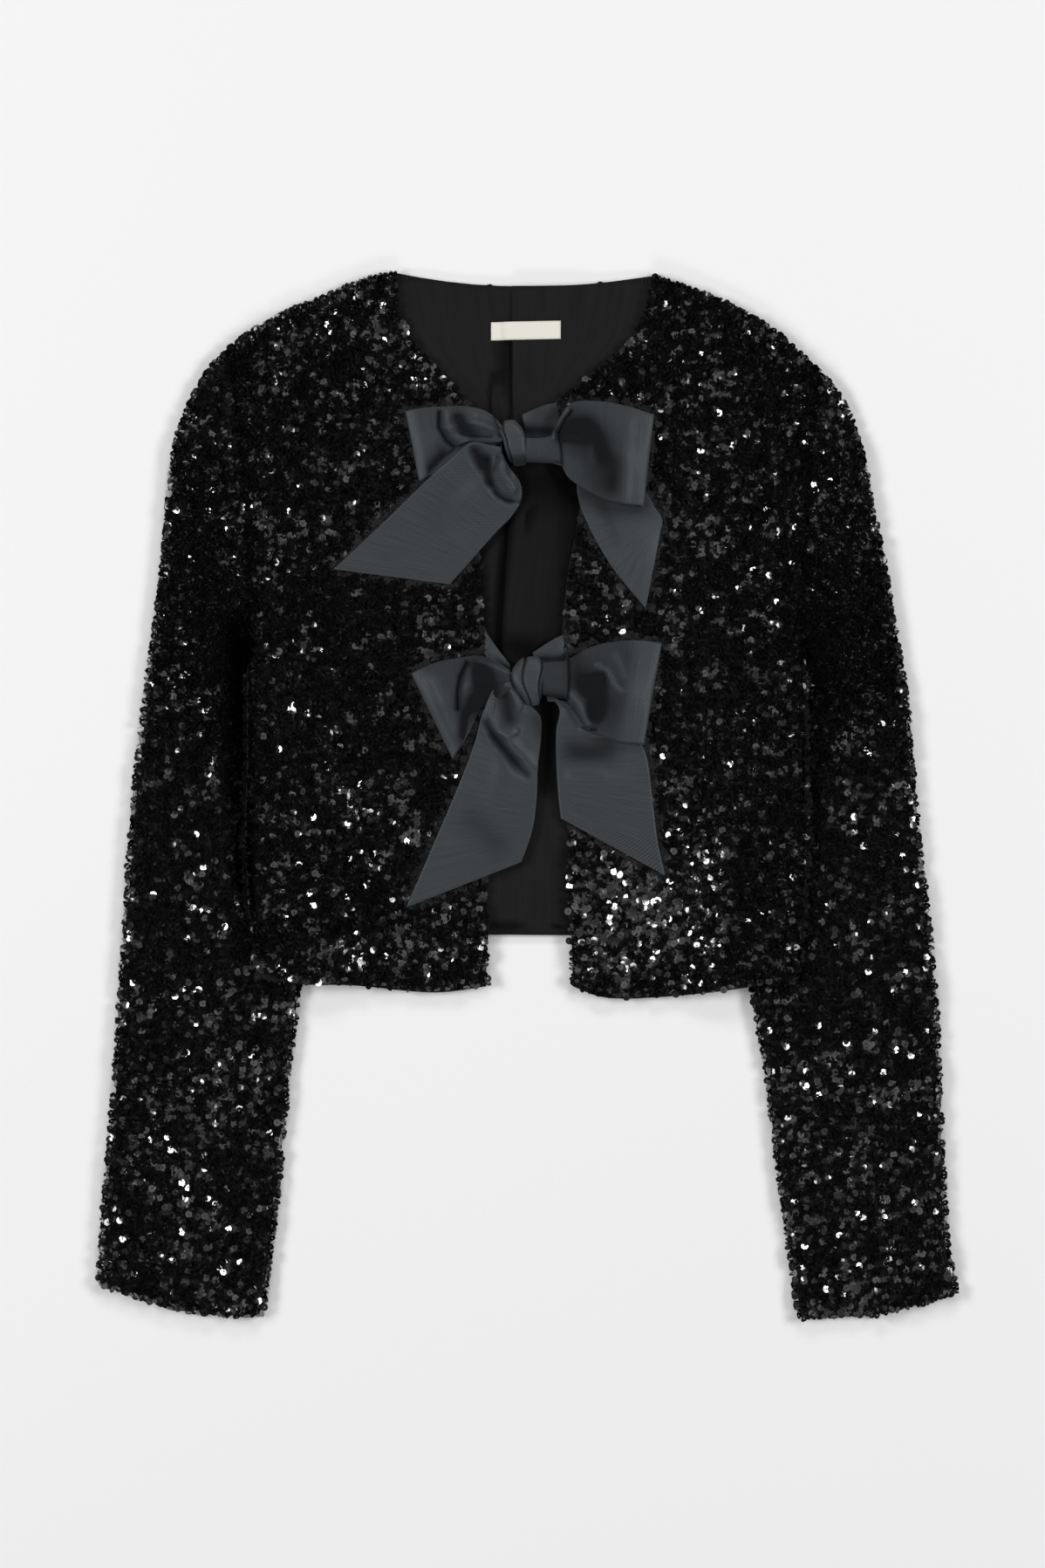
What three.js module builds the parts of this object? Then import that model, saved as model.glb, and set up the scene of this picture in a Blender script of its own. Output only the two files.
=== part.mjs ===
// A cropped, lined blouse of sequinned cloth, open down the front and tied with two
// ribbon bows, laid flat on its back with its sleeves tucked under the sides.
// Millimetres. +Z is up off the surface, +Y towards the neck, +X the wearer's left.

import * as THREE from 'three';
import { mergeVertices } from 'three/addons/utils/BufferGeometryUtils.js';

// Cloth sizes
const CLOTH = 3.0; // sequinned cloth, from its backing to the sequin tips
const LINING = 1.0;
const RIBBON = 1.0;
const SEAM_GAP = 0.3;
const LAYER_GAP = 0.35;
const LINING_PEEK = 2.0; // how far the lining shows below a hem or cuff
const LABEL = { left: -24, right: 22, low: 298, high: 310, tilt: 0.02, thick: 0.7 };

// Heights of the middle of each layer where the body lies flat
const BACK_MID = CLOTH / 2;
const BACK_LINING_MID = CLOTH + LAYER_GAP + LINING / 2;
const FRONT_LINING_MID = BACK_LINING_MID + LINING + LAYER_GAP;
const FRONT_MID = FRONT_LINING_MID + LINING / 2 + LAYER_GAP + CLOTH / 2;

// The front rolls down over the edge of the back with this mid-line radius
const RIM_TILT = 0.4; // how far the rim's outer corner hangs below its middle
const ROLL = FRONT_MID - CLOTH - SEAM_GAP - RIM_TILT;
const ROLL_FROM_EDGE = ROLL + CLOTH / 2;
const HALF_SEAM = SEAM_GAP / 2;

// Rows and columns that every layer of the body shares, so that layers lie on each
// other. Rows are shares of the way up, with one at the underarm and the neck corner.
const UNDERARM = 0.52;
const NECK_CORNER = 0.77;
const ROWS = [0, 0.09, 0.17, 0.25, 0.33, 0.39, 0.44, 0.48, UNDERARM, 0.58, 0.65, 0.71,
  NECK_CORNER, 0.84, 0.91, 1];
const COLUMNS = 9;
const ARMHOLE_SHARES = ROWS.filter((v) => v > UNDERARM && v < 1)
  .map((v) => (v - UNDERARM) / (1 - UNDERARM));

// Outlines seen from above, each from its first corner to its last. Columns: x, y
const WEARER_RIGHT = {
  hem: [[-27, -126], [-60, -130], [-118, -125], [-150, -124], [-177, -117]],
  side: [[-177, -117], [-181, -105], [-186, -30], [-185, 16], [-185, 74], [-184, 97]],
  armhole: [[-184, 97], [-183, 143], [-184, 189], [-188, 226], [-191, 255], [-197, 293]],
  shoulder: [[-88, 343], [-103, 340], [-133, 328], [-161, 316], [-181, 305], [-197, 293]],
  frontEdge: [[-27, -126], [-28, -87], [-28, 5], [-29, 94], [-32, 154], [-33, 246]],
  neck: [[-33, 246], [-43, 260], [-60, 278], [-77, 298], [-86, 321], [-88, 343]],
  backHem: [[0, -92], [-60, -93], [-118, -97], [-177, -117]],
  backNeck: [[0, 334], [-26, 334.5], [-60, 338], [-88, 343]],
  sleeveOuter: [[-197, 293], [-208, 282], [-221, 260], [-231, 235], [-237, 194], [-241, 148],
    [-247, 108], [-256, 39], [-263, -30], [-271, -156], [-280, -271], [-284, -322]],
  sleeveInner: [[-184, 97], [-187, 68], [-158, 28], [-142, -13], [-145, -76], [-150, -128],
    [-157, -191], [-162, -248], [-173, -343]],
  cuff: [[-173, -343], [-192, -343], [-227, -340], [-284, -322]],
};
const WEARER_LEFT = {
  hem: [[30, -126], [49, -133], [89, -133], [147, -126], [176, -120]],
  side: [[176, -120], [180, -105], [185, -30], [184, 16], [184, 74], [183, 97]],
  armhole: [[183, 97], [182, 143], [184, 189], [187, 226], [190, 255], [192, 278]],
  shoulder: [[84, 341], [96, 337], [122, 327], [145, 316], [164, 304], [192, 278]],
  frontEdge: [[30, -126], [29, -87], [28, -30], [25, 97], [29, 143], [37, 200], [20, 256]],
  neck: [[20, 256], [35, 269], [55, 285], [72, 301], [80, 321], [84, 341]],
  backHem: [[0, -92], [55, -93], [112, -98], [176, -120]],
  backNeck: [[0, 334], [26, 334.5], [55, 337], [84, 341]],
  sleeveOuter: [[192, 278], [202, 268], [213, 247], [221, 223], [227, 191], [233, 166],
    [241, 120], [251, 62], [257, -7], [270, -133], [278, -294], [284, -329]],
  sleeveInner: [[183, 97], [187, 68], [157, 28], [141, -13], [143, -76], [147, -128],
    [156, -179], [163, -237], [178, -345]],
  cuff: [[178, -345], [193, -344], [230, -342], [284, -329]],
};

// The side of the body lies over the sleeve and is lifted by it.
// Columns: height on the body y, distance of the sleeve's inner edge from the middle
const TUCKED_SLEEVE = [[-128, 143], [-76, 143], [-13, 140], [28, 156], [68, 186], [97, 186]];
// Sections of the sleeve. Columns: place s, share of the inner edge, share of the outer
const SLEEVE_FAN = [[0, 0, 0], [0.36, 0.065, 0.32], [1, 1, 1]];
const SLEEVE_HOLLOW = 3.0;
const SLEEVE_LIFT = 2 * CLOTH + SLEEVE_HOLLOW + 0.4 + 2 * SEAM_GAP;
const LIFT_RISE = 32; // length below the underarm over which the side climbs
const ROLL_START = 20; // length below the underarm over which the roll begins
const LIFT_FADE = 40; // width over which the lift dies away towards the middle
const LIFT_MARGIN = 8;

// Soft folds in the upper cloth. Columns: x and y of each end, half width, height
const FRONT_FOLDS = [
  [-172, 215, -158, 60, 9, 1.2],
  [-120, 40, -112, -80, 12, 0.9],
  [165, 230, 150, 80, 10, 1.1],
  [126, 20, 136, -85, 12, 0.9],
];
const SLEEVE_FOLDS = [
  [-205, 235, -214, 60, 8, 0.9],
  [-258, 60, -205, 20, 9, 0.8],
  [-262, -120, -200, -150, 10, 0.8],
  [206, 225, 213, 50, 8, 0.9],
  [250, 40, 205, 5, 9, 0.8],
  [262, -150, 200, -185, 10, 0.8],
];

// The pleat down the middle of the back lining folds over to the wearer's right.
// Columns: y, x of its folded edge, strength of the fold, height of the fold
const PLEAT = [
  [-95, -14, 0, 0],
  [30, -16, 0, 0],
  [48, -17, 0, 1],
  [66, -17, 0.3, 1],
  [94, -17.5, 0.62, 1],
  [177, -13, 0.8, 1],
  [252, -11.2, 0.95, 1],
  [297, -10.6, 1, 1],
  [336, -10.6, 1, 1],
];
const PLEAT_WIDTH = 14;
const PLEAT_SWING = 10;
const PLEAT_RISE = 2 * (LINING + SEAM_GAP);
const PLEAT_STEPS = [0, 0.1, 0.17, 0.21, 0.25, 0.29, 0.33, 0.42, 0.5, 0.58, 0.67, 0.71, 0.75,
  0.79, 0.83, 0.9, 1];

// Ribbons, a row for each section from its first end to its last.
// Columns: x, y, z of one edge, x, y, z of the other, rise of the middle, depth of gathers
const UPPER_BOW = {
  knot: { at: [-8.2, 230, 15.4], half: [7, 15.4, 6], turn: 0.12 },
  loop_right: [
    [-16.5, 238, 12, -16.5, 231, 12, 0, 0],
    [-34, 242, 11.4, -32, 222, 11.2, 0, 0.4],
    [-57, 246, 9.9, -50, 214, 9.9, 0, 0],
    [-74, 250, 9.9, -67, 207, 9.9, 0, 0],
    [-80, 251, 11.3, -71, 205, 11.3, 0, 0],
    [-76, 252, 12.9, -68, 207, 12.7, 0.8, 0],
    [-66, 253.5, 13.6, -60, 216, 13, 2.5, 0],
    [-53, 254, 14.5, -50, 226, 13.6, 5, 0.6],
    [-40, 254, 15.5, -38, 231, 14.4, 7, 0.8],
    [-26, 250, 16.5, -25, 230, 15.6, 5, 1],
    [-16.5, 241, 17.6, -16.5, 231, 17.4, 0.5, 0.6],
  ],
  tail_right: [
    [-17.5, 227, 14.4, -13.5, 212.5, 12.5, 0, 0.5],
    [-26, 228.5, 16.4, -5.5, 205, 12.6, 1, 1],
    [-38, 229.5, 16.8, -4, 193, 11.2, 1.5, 1],
    [-52, 218, 14.8, -11, 181, 10.2, 1.2, 0.6],
    [-66, 206, 11.4, -20, 172, 9.9, 0.6, 0.2],
    [-97, 176, 9.9, -36, 154, 9.9, 0.4, 0],
    [-128, 147, 9.9, -51, 137, 9.9, 0, 0],
  ],
  strap_right: [
    [-32, 245, 7, -30.8, 208, 7, 0, 0],
    [-24, 241, 8.4, -24, 219, 8.4, 0.4, 0.5],
    [-16.5, 236, 10.2, -16.5, 226, 10.2, 0, 0.4],
  ],
  strap_left: [
    [19.2, 257, 7, 32.5, 212, 7, 0, 0],
    [10.5, 255, 8.6, 16, 217, 8.6, 0.6, 0.8],
    [0.4, 249.5, 10.6, 0.6, 220, 11.2, 0, 0.6],
  ],
  tail_left: [
    [0.4, 230, 12.8, 0.6, 222, 12.8, 0, 0.3],
    [18, 233, 11.6, 18, 219, 11.4, 0.3, 0.5],
    [32, 216, 10, 56, 219, 10, 0.2, 0.4],
    [33, 196, 9.9, 77, 199, 9.9, 0.3, 0],
    [40, 176, 9.9, 84, 188, 9.9, 0.8, 0],
    [56, 148, 9.9, 89, 180, 9.9, 0.5, 0],
    [78, 121, 9.9, 88, 173, 9.9, 0, 0],
  ],
  loop_left: [
    [0.4, 240, 14.3, 0.6, 233, 14.3, 0, 0],
    [20, 243, 13.4, 22, 224, 13.4, 0, 0.3],
    [49, 251, 11.9, 49, 199, 11.9, 0, 0],
    [74, 250, 11.6, 70, 191, 11.6, 0, 0],
    [83, 249, 13.4, 76, 188, 13.2, 0, 0],
    [79, 250, 15.4, 74, 189, 14.8, 1, 0],
    [66, 254, 17, 63, 190, 15.6, 3, 0.4],
    [49, 257, 18.6, 48, 194, 16.4, 6, 0.7],
    [27, 255, 18.6, 28, 209, 16.8, 5, 1],
    [14, 246, 18.2, 15, 229, 17.6, 2, 1],
    [0.4, 240, 18, 0.6, 231, 18, 0, 0.5],
  ],
};
const LOWER_BOW = {
  knot: { at: [0.4, 73, 16], half: [10.4, 16.2, 6.6], turn: 0.08 },
  loop_right: [
    [-11.4, 79, 12.6, -11.4, 70, 12.6, 0, 0],
    [-33, 85, 11.3, -28, 59, 11.3, 0, 0.3],
    [-56, 81, 9.9, -39, 38, 9.9, 0, 0],
    [-71, 78, 9.9, -46, 27, 9.9, 0, 0],
    [-76, 78, 11.3, -49, 22, 11.3, 0, 0],
    [-73, 80, 13, -47, 26, 12.8, 1, 0],
    [-59, 86, 14.4, -41, 37, 13.6, 3, 0.4],
    [-45, 88.5, 15.6, -38, 50, 14.4, 5, 0.7],
    [-33, 90, 16.6, -29, 56, 15, 5.5, 1],
    [-22, 87, 17.4, -20, 61, 15.8, 3, 1],
    [-11.4, 80, 18, -11.4, 68, 17, 0, 0.5],
  ],
  tail_right: [
    [-12, 59, 14, 6, 53, 13, 0, 0.5],
    [-19, 62, 17, 9.5, 49, 13, 1.5, 1.2],
    [-25, 50, 17, 9, 36, 12, 3, 1.2],
    [-33, 30, 14, 6, 16, 10.6, 3.5, 0.8],
    [-43, 10, 10.6, 6, -6, 9.9, 2.5, 0.3],
    [-61, -32, 9.9, 3, -26, 9.9, 1, 0],
    [-80, -76, 9.9, -4, -46, 9.9, 0, 0],
  ],
  strap_right: [
    [-28.2, 107, 7, -28, 67, 7, 0, 0],
    [-19, 94, 8.6, -19, 66, 8.6, 0.6, 0.7],
    [-11.3, 84, 10.8, -11.3, 68, 10.8, 0, 0.5],
  ],
  strap_left: [
    [24.2, 104, 7, 24.2, 60, 7, 0, 0],
    [16.5, 100.5, 8.2, 19, 61, 8.6, 0.6, 0.8],
    [8.4, 95.5, 8.6, 12.2, 66, 11, 0, 0.5],
  ],
  tail_left: [
    [12.2, 66, 12.8, 13, 60, 12.8, 0, 0.3],
    [21, 55, 11, 38, 57, 10.8, 0.2, 0.4],
    [19, 40, 10, 66, 40, 9.9, 0.5, 0.3],
    [19, 20, 9.9, 78, 26, 9.9, 1.2, 0],
    [20, 2, 9.9, 83, -8, 10.1, 1.5, 0],
    [21, -9, 9.9, 86, -32, 10.3, 0.8, 0],
    [22, -17, 9.9, 91, -55, 10.3, 0, 0],
  ],
  loop_left: [
    [12.2, 80, 14.3, 12.2, 71, 14.3, 0, 0],
    [27, 85, 13.2, 27, 60, 13.2, 0, 0.3],
    [46, 95, 12.3, 41, 43, 12.3, 0, 0],
    [80, 98, 11.6, 70, 33, 11.6, 0, 0],
    [88, 98, 13.4, 76, 31, 13.2, 0, 0],
    [84, 99, 15.2, 74, 32, 14.8, 1, 0],
    [66, 100, 17, 58, 34, 16, 3, 0.4],
    [46, 97, 18.6, 41, 41, 16.8, 6, 0.7],
    [32, 90, 18.8, 31, 52, 17.2, 4.5, 1],
    [22, 84, 18.4, 22, 64, 17.6, 2, 1],
    [12.2, 80, 18.2, 12.2, 69, 18, 0, 0.5],
  ],
};
const GATHER_WAVES = 2.5;
const CELLS = { loop: [14, 7], tail: [10, 7], strap: [4, 7] }; // along, across

const finishes = {
  sequins: new THREE.MeshStandardMaterial({ color: 0x0b0b0c, roughness: 0.35, metalness: 0.3 }),
  lining: new THREE.MeshStandardMaterial({ color: 0x262223, roughness: 0.6, metalness: 0 }),
  ribbon: new THREE.MeshStandardMaterial({ color: 0x34393d, roughness: 0.42, metalness: 0 }),
  label: new THREE.MeshStandardMaterial({ color: 0xe8e6da, roughness: 0.8, metalness: 0 }),
};

const blouse = new THREE.Group();

const mix = THREE.MathUtils.lerp;
const smooth = (t) => THREE.MathUtils.smoothstep(t, 0, 1);

// A curve through tables of points, each with the share of 0 to 1 at which it ends
function edge(...stretches) {
  const curves = stretches.map(([table, end]) => {
    const points = table.map(([x, y]) => new THREE.Vector3(x, y, 0));
    return { end, curve: new THREE.CatmullRomCurve3(points, false, 'centripetal') };
  });
  return (share) => {
    const t = THREE.MathUtils.clamp(share, 0, 1);
    const i = curves.findIndex(({ end }) => t <= end);
    const start = i > 0 ? curves[i - 1].end : 0;
    return curves[i].curve.getPointAt((t - start) / (curves[i].end - start));
  };
}

// A smooth patch filling four edges. u runs along bottom and top, v along left and right
function patch(bottom, top, left, right) {
  return (u, v) => {
    const across = bottom(u).lerp(top(u), v);
    const along = left(v).lerp(right(v), u);
    const low = bottom(0).lerp(bottom(1), u);
    const high = top(0).lerp(top(1), u);
    return across.add(along).sub(low.lerp(high, v));
  };
}

// The row of a table, with any number of columns, at a value of its first column
function lookUp(table, key) {
  const last = table.length - 1;
  if (key <= table[0][0]) return table[0];
  if (key >= table[last][0]) return table[last];
  const i = table.findIndex((row) => row[0] >= key);
  const t = (key - table[i - 1][0]) / (table[i][0] - table[i - 1][0]);
  return table[i].map((value, column) => mix(table[i - 1][column], value, t));
}

// A table's columns followed smoothly from its first row (t = 0) to its last (t = 1)
function follow(table, t) {
  const place = t * (table.length - 1);
  const i = Math.min(Math.floor(place), table.length - 2);
  const f = place - i;
  const before = table[Math.max(i - 1, 0)];
  const after = table[Math.min(i + 2, table.length - 1)];
  return table[i].map((value, column) => {
    const next = table[i + 1][column];
    const slope = (next - before[column]) / 2;
    const nextSlope = (after[column] - value) / 2;
    const square = f * f;
    const cube = square * f;
    return (2 * cube - 3 * square + 1) * value + (cube - 2 * square + f) * slope
      + (3 * square - 2 * cube) * next + (cube - square) * nextSlope;
  });
}

// A closed wall of even thickness on the grid middle[row][column]. The rows may close
// into rings. after, if given, moves each finished point.
function wall(middle, thickness, { ring = false, after = null } = {}) {
  const rows = middle.length;
  const columns = middle[0].length;
  const left = (j) => (ring ? (j - 1 + columns) % columns : Math.max(j - 1, 0));
  const right = (j) => (ring ? (j + 1) % columns : Math.min(j + 1, columns - 1));
  const positions = [];
  for (const side of [1, -1]) {
    for (let i = 0; i < rows; i += 1) {
      for (let j = 0; j < columns; j += 1) {
        const up = middle[Math.min(i + 1, rows - 1)][j].clone().sub(middle[Math.max(i - 1, 0)][j]);
        const across = middle[i][right(j)].clone().sub(middle[i][left(j)]);
        const normal = across.cross(up).normalize();
        const point = middle[i][j].clone().addScaledVector(normal, side * thickness / 2);
        if (after) after(point);
        positions.push(point.x, point.y, point.z);
      }
    }
  }
  const at = (side, i, j) => side * rows * columns + i * columns + j;
  const index = [];
  const quad = (a, b, c, d) => index.push(a, b, c, a, c, d);
  const cells = ring ? columns : columns - 1;
  for (let i = 0; i < rows - 1; i += 1) {
    for (let j = 0; j < cells; j += 1) {
      const k = right(j);
      quad(at(0, i, j), at(0, i, k), at(0, i + 1, k), at(0, i + 1, j));
      quad(at(1, i, j), at(1, i + 1, j), at(1, i + 1, k), at(1, i, k));
    }
  }
  const top = rows - 1;
  for (let j = 0; j < cells; j += 1) {
    const k = right(j);
    quad(at(0, 0, j), at(1, 0, j), at(1, 0, k), at(0, 0, k));
    quad(at(0, top, j), at(0, top, k), at(1, top, k), at(1, top, j));
  }
  if (!ring) {
    const end = columns - 1;
    for (let i = 0; i < top; i += 1) {
      quad(at(0, i, 0), at(0, i + 1, 0), at(1, i + 1, 0), at(1, i, 0));
      quad(at(0, i, end), at(1, i, end), at(1, i + 1, end), at(0, i + 1, end));
    }
  }
  const geometry = new THREE.BufferGeometry();
  geometry.setAttribute('position', new THREE.Float32BufferAttribute(positions, 3));
  geometry.setIndex(index);
  return facingOut(geometry);
}

// The same closed surface with its faces turned outwards
function facingOut(geometry) {
  const { array } = geometry.attributes.position;
  const index = geometry.index.array;
  const [a, b, c] = [new THREE.Vector3(), new THREE.Vector3(), new THREE.Vector3()];
  let volume = 0;
  for (let i = 0; i < index.length; i += 3) {
    a.fromArray(array, index[i] * 3);
    b.fromArray(array, index[i + 1] * 3);
    c.fromArray(array, index[i + 2] * 3);
    volume += a.dot(b.cross(c));
  }
  if (volume < 0) {
    for (let i = 0; i < index.length; i += 3) {
      [index[i + 1], index[i + 2]] = [index[i + 2], index[i + 1]];
    }
  }
  geometry.computeVertexNormals();
  return geometry;
}

function addPiece(name, geometry, finish) {
  const mesh = new THREE.Mesh(geometry, finish);
  mesh.name = name;
  blouse.add(mesh);
}

// Steps from the flat of a panel (0) round the roll to its seam (1)
const ROLL_STEPS = [1 / 3, 2 / 3, 1];

// Distance inside the outline at a step of the roll, and how far it has turned down
const rolledInset = (q) => CLOTH / 2 + ROLL * (1 - Math.sin(q * Math.PI / 2));
const rolledDrop = (q) => ROLL * (1 - Math.cos(q * Math.PI / 2));
const flatInset = (q) => mix(ROLL_FROM_EDGE, HALF_SEAM, q);

// How far the body is lifted by the sleeve tucked under its side
function lift(x, y) {
  const underarm = TUCKED_SLEEVE[TUCKED_SLEEVE.length - 1][0];
  const rise = smooth((underarm - y) / LIFT_RISE);
  const full = lookUp(TUCKED_SLEEVE, y)[1] - LIFT_MARGIN;
  return SLEEVE_LIFT * rise * smooth((Math.abs(x) - full + LIFT_FADE) / LIFT_FADE);
}

// Height of the soft folds at a point
function foldHeight(folds, x, y) {
  let height = 0;
  for (const [x0, y0, x1, y1, halfWidth, rise] of folds) {
    const [dx, dy] = [x1 - x0, y1 - y0];
    const t = ((x - x0) * dx + (y - y0) * dy) / (dx * dx + dy * dy);
    const away = Math.abs((x - x0) * dy - (y - y0) * dx) / Math.hypot(dx, dy) / halfWidth;
    height += rise * smooth(4 * t) * smooth(4 * (1 - t)) * Math.exp(-away * away);
  }
  return height;
}

function liftPoint(point) {
  point.z += lift(point.x, point.y);
}

// The plane that the layers of half the body share. v runs from the hem up. u runs
// from the front edge (0) to the side (1), and on past the front edge to the middle (-1).
function bodyPlane(half) {
  const front = edge([half.frontEdge, NECK_CORNER], [half.neck, 1]);
  const side = edge([half.side, UNDERARM], [half.armhole, 1]);
  const centre = edge([[half.backHem[0], half.backNeck[0]], 1]);
  const under = patch(edge([half.hem, 1]), edge([half.shoulder, 1]), front, side);
  const neck = edge([half.backNeck, 1]);
  const chord = (u) => neck(0).lerp(neck(1), u);
  return (u, v) => {
    if (u >= 0) return under(u, v);
    const arch = neck(1 + u).sub(chord(1 + u)).multiplyScalar(smooth(5 * v - 4));
    return front(v).lerp(centre(v), -u).add(arch);
  };
}

const widthAt = (plane, v) => plane(0, v).distanceTo(plane(1, v));
const heightOf = (plane) => plane(0.5, 0).distanceTo(plane(0.5, 1));

// Every layer runs its rows from the wearer's right to the left
const inOrder = (half, row) => (half === WEARER_RIGHT ? row.reverse() : row);

// The columns from the front edge to where the front starts to roll down
function flatColumns(plane, v) {
  const reach = 1 - ROLL_FROM_EDGE / widthAt(plane, v);
  return Array.from({ length: COLUMNS + 1 }, (_, j) => reach * j / COLUMNS);
}

// Where a row of a lining lies: its top row stops short of the shoulder seam, and
// reaches the edge only along the back of the neck
function liningRow(plane, row, u) {
  const inset = row === 1 ? ROLL_FROM_EDGE / heightOf(plane) : 0;
  return row - inset * smooth(1 + 4 * u);
}

function frontPanel(name, half) {
  const plane = bodyPlane(half);
  const underarm = plane(1, UNDERARM).y;
  const flatTop = 1 - ROLL_FROM_EDGE / heightOf(plane);
  const rows = [
    ...ROWS.slice(0, -1).map((v) => ({ v, q: 0 })),
    { v: flatTop, q: 0 },
    ...ROLL_STEPS.map((q) => ({ v: 1 - rolledInset(q) / heightOf(plane), q })),
  ];
  const middle = rows.map((row) => {
    const columns = flatColumns(plane, row.v).map((u) => ({ u, down: 0 }));
    const rolled = smooth((underarm - plane(1, row.v).y) / ROLL_START);
    for (const q of ROLL_STEPS) {
      const inset = mix(flatInset(q), rolledInset(q), rolled);
      columns.push({ u: 1 - inset / widthAt(plane, row.v), down: rolled * rolledDrop(q) });
    }
    return inOrder(half, columns.map(({ u, down }) => {
      const point = plane(u, row.v);
      point.z = FRONT_MID - rolledDrop(row.q) - down;
      return point;
    }));
  });
  const after = (point) => {
    const onTop = smooth((point.z - CLOTH) / (FRONT_MID - CLOTH));
    point.z += lift(point.x, point.y) + onTop * foldHeight(FRONT_FOLDS, point.x, point.y);
  };
  addPiece(name, wall(middle, CLOTH, { after }), finishes.sequins);
}

function frontLining(name, half) {
  const plane = bodyPlane(half);
  const middle = ROWS.map((v) => inOrder(half, flatColumns(plane, v).map((u) => {
    const point = plane(u, liningRow(plane, v, u));
    if (v === 0) point.y -= LINING_PEEK;
    point.z = FRONT_LINING_MID;
    return point;
  })));
  addPiece(name, wall(middle, LINING, { after: liftPoint }), finishes.lining);
}

// The back's hem at a share of the way across half the body
const backHemPoint = (half, u, wide) => {
  const hem = edge([half.backHem, 1]);
  const reach = Math.abs(half.frontEdge[0][0]);
  return hem(u < 0 ? (1 + u) * reach / wide : mix(reach / wide, 1, u));
};

function backPanel() {
  const middle = ROWS.map((v) => {
    const row = [];
    for (const half of [WEARER_RIGHT, WEARER_LEFT]) {
      const plane = bodyPlane(half);
      const wide = Math.abs(half.side[0][0]);
      const columns = [-1, -0.5, ...flatColumns(plane, v), 1];
      const points = columns.map((u) => {
        const point = v === 0 ? backHemPoint(half, u, wide) : plane(u, v);
        if (u === 1) point.x -= Math.sign(point.x) * HALF_SEAM;
        point.z = BACK_MID;
        return point;
      });
      row.push(...inOrder(half, half === WEARER_RIGHT ? points : points.slice(1)));
    }
    return row;
  });
  addPiece('back', wall(middle, CLOTH, { after: liftPoint }), finishes.sequins);
}

// The folded cloth of the pleat: how far past its first point, and how high, at step s
function pleatStep(s, strength, height) {
  const along = PLEAT_WIDTH * s + PLEAT_SWING * strength * Math.sin(2 * Math.PI * s);
  const turn = (centre) => smooth((s - centre + 0.06) / 0.12) / 2;
  return { along, up: PLEAT_RISE * height * (turn(0.25) + turn(0.75)) };
}

function backLining() {
  const middle = ROWS.map((v) => {
    const height = bodyPlane(WEARER_RIGHT)(-1, v).y;
    const [, foldEdge, strength, rise] = lookUp(PLEAT, height);
    const start = foldEdge - 0.7 * PLEAT_WIDTH + PLEAT_SWING * strength;
    const halfRow = (half, from, raised) => {
      const plane = bodyPlane(half);
      const wide = Math.abs(half.side[0][0]);
      return inOrder(half, [-0.75, -0.4, ...flatColumns(plane, v)].map((u) => {
        const point = v === 0 ? backHemPoint(half, u, wide) : plane(u, liningRow(plane, v, u));
        if (v === 0) point.y -= LINING_PEEK;
        point.x += from * Math.max(0, -u);
        point.z = BACK_LINING_MID + raised * smooth((-u - 0.4) / 0.35);
        return point;
      }));
    };
    const pleat = PLEAT_STEPS.map((s) => {
      const { along, up } = pleatStep(s, strength, rise);
      const x = start + along;
      const half = x < 0 ? WEARER_RIGHT : WEARER_LEFT;
      const point = v === 0 ? backHemPoint(half, -1, 1) : bodyPlane(half)(-1, v);
      if (v === 0) point.y -= LINING_PEEK;
      point.x = x;
      point.z = BACK_LINING_MID + up;
      return point;
    });
    return [
      ...halfRow(WEARER_RIGHT, start, 0),
      ...pleat,
      ...halfRow(WEARER_LEFT, start + PLEAT_WIDTH, PLEAT_RISE * rise),
    ];
  });
  addPiece('back_lining', wall(middle, LINING, { after: liftPoint }), finishes.lining);
}

// One ring of a flattened tube between its inner and outer edge on a line.
// Gives the share of the line and the height of each point.
function flatRing(width, radius, rim, shares, endCells) {
  const ring = [];
  const reach = (radius + rim) / width;
  const flat = [reach, ...shares, 1 - reach];
  const ends = Array.from({ length: endCells - 1 }, (_, i) => Math.PI * (i + 1) / endCells);
  for (const share of flat) ring.push([share, -radius]);
  for (const turn of ends) {
    ring.push([1 - reach + radius * Math.sin(turn) / width, -radius * Math.cos(turn)]);
  }
  for (const share of flat.reverse()) ring.push([share, radius]);
  for (const turn of ends) {
    ring.push([reach - radius * Math.sin(turn) / width, radius * Math.cos(turn)]);
  }
  return ring;
}

// The plane of a sleeve: w from the inner to the outer edge, s from the armhole to the
// cuff. The first sections fan out round the underarm.
function sleevePlane(half) {
  const [inner, outer] = [edge([half.sleeveInner, 1]), edge([half.sleeveOuter, 1])];
  const [armhole, cuff] = [edge([half.armhole, 1]), edge([half.cuff, 1])];
  const straight = (w, s) => {
    const [, innerShare, outerShare] = lookUp(SLEEVE_FAN, s);
    return inner(innerShare).lerp(outer(outerShare), w);
  };
  return (w, s) => {
    const point = straight(w, s);
    const top = armhole(w).sub(straight(w, 0));
    const bottom = cuff(w).sub(straight(w, 1));
    const nearTop = Math.max(0, 1 - 6 * s) ** 2;
    const nearCuff = Math.max(0, 8 * s - 7) ** 2;
    point.addScaledVector(top, nearTop).addScaledVector(bottom, nearCuff);
    const room = SEAM_GAP + 1.6 * (1 - w) ** 8 + 0.5 * w ** 8;
    point.x += Math.sign(point.x) * room * nearTop;
    return point;
  };
}

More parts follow.
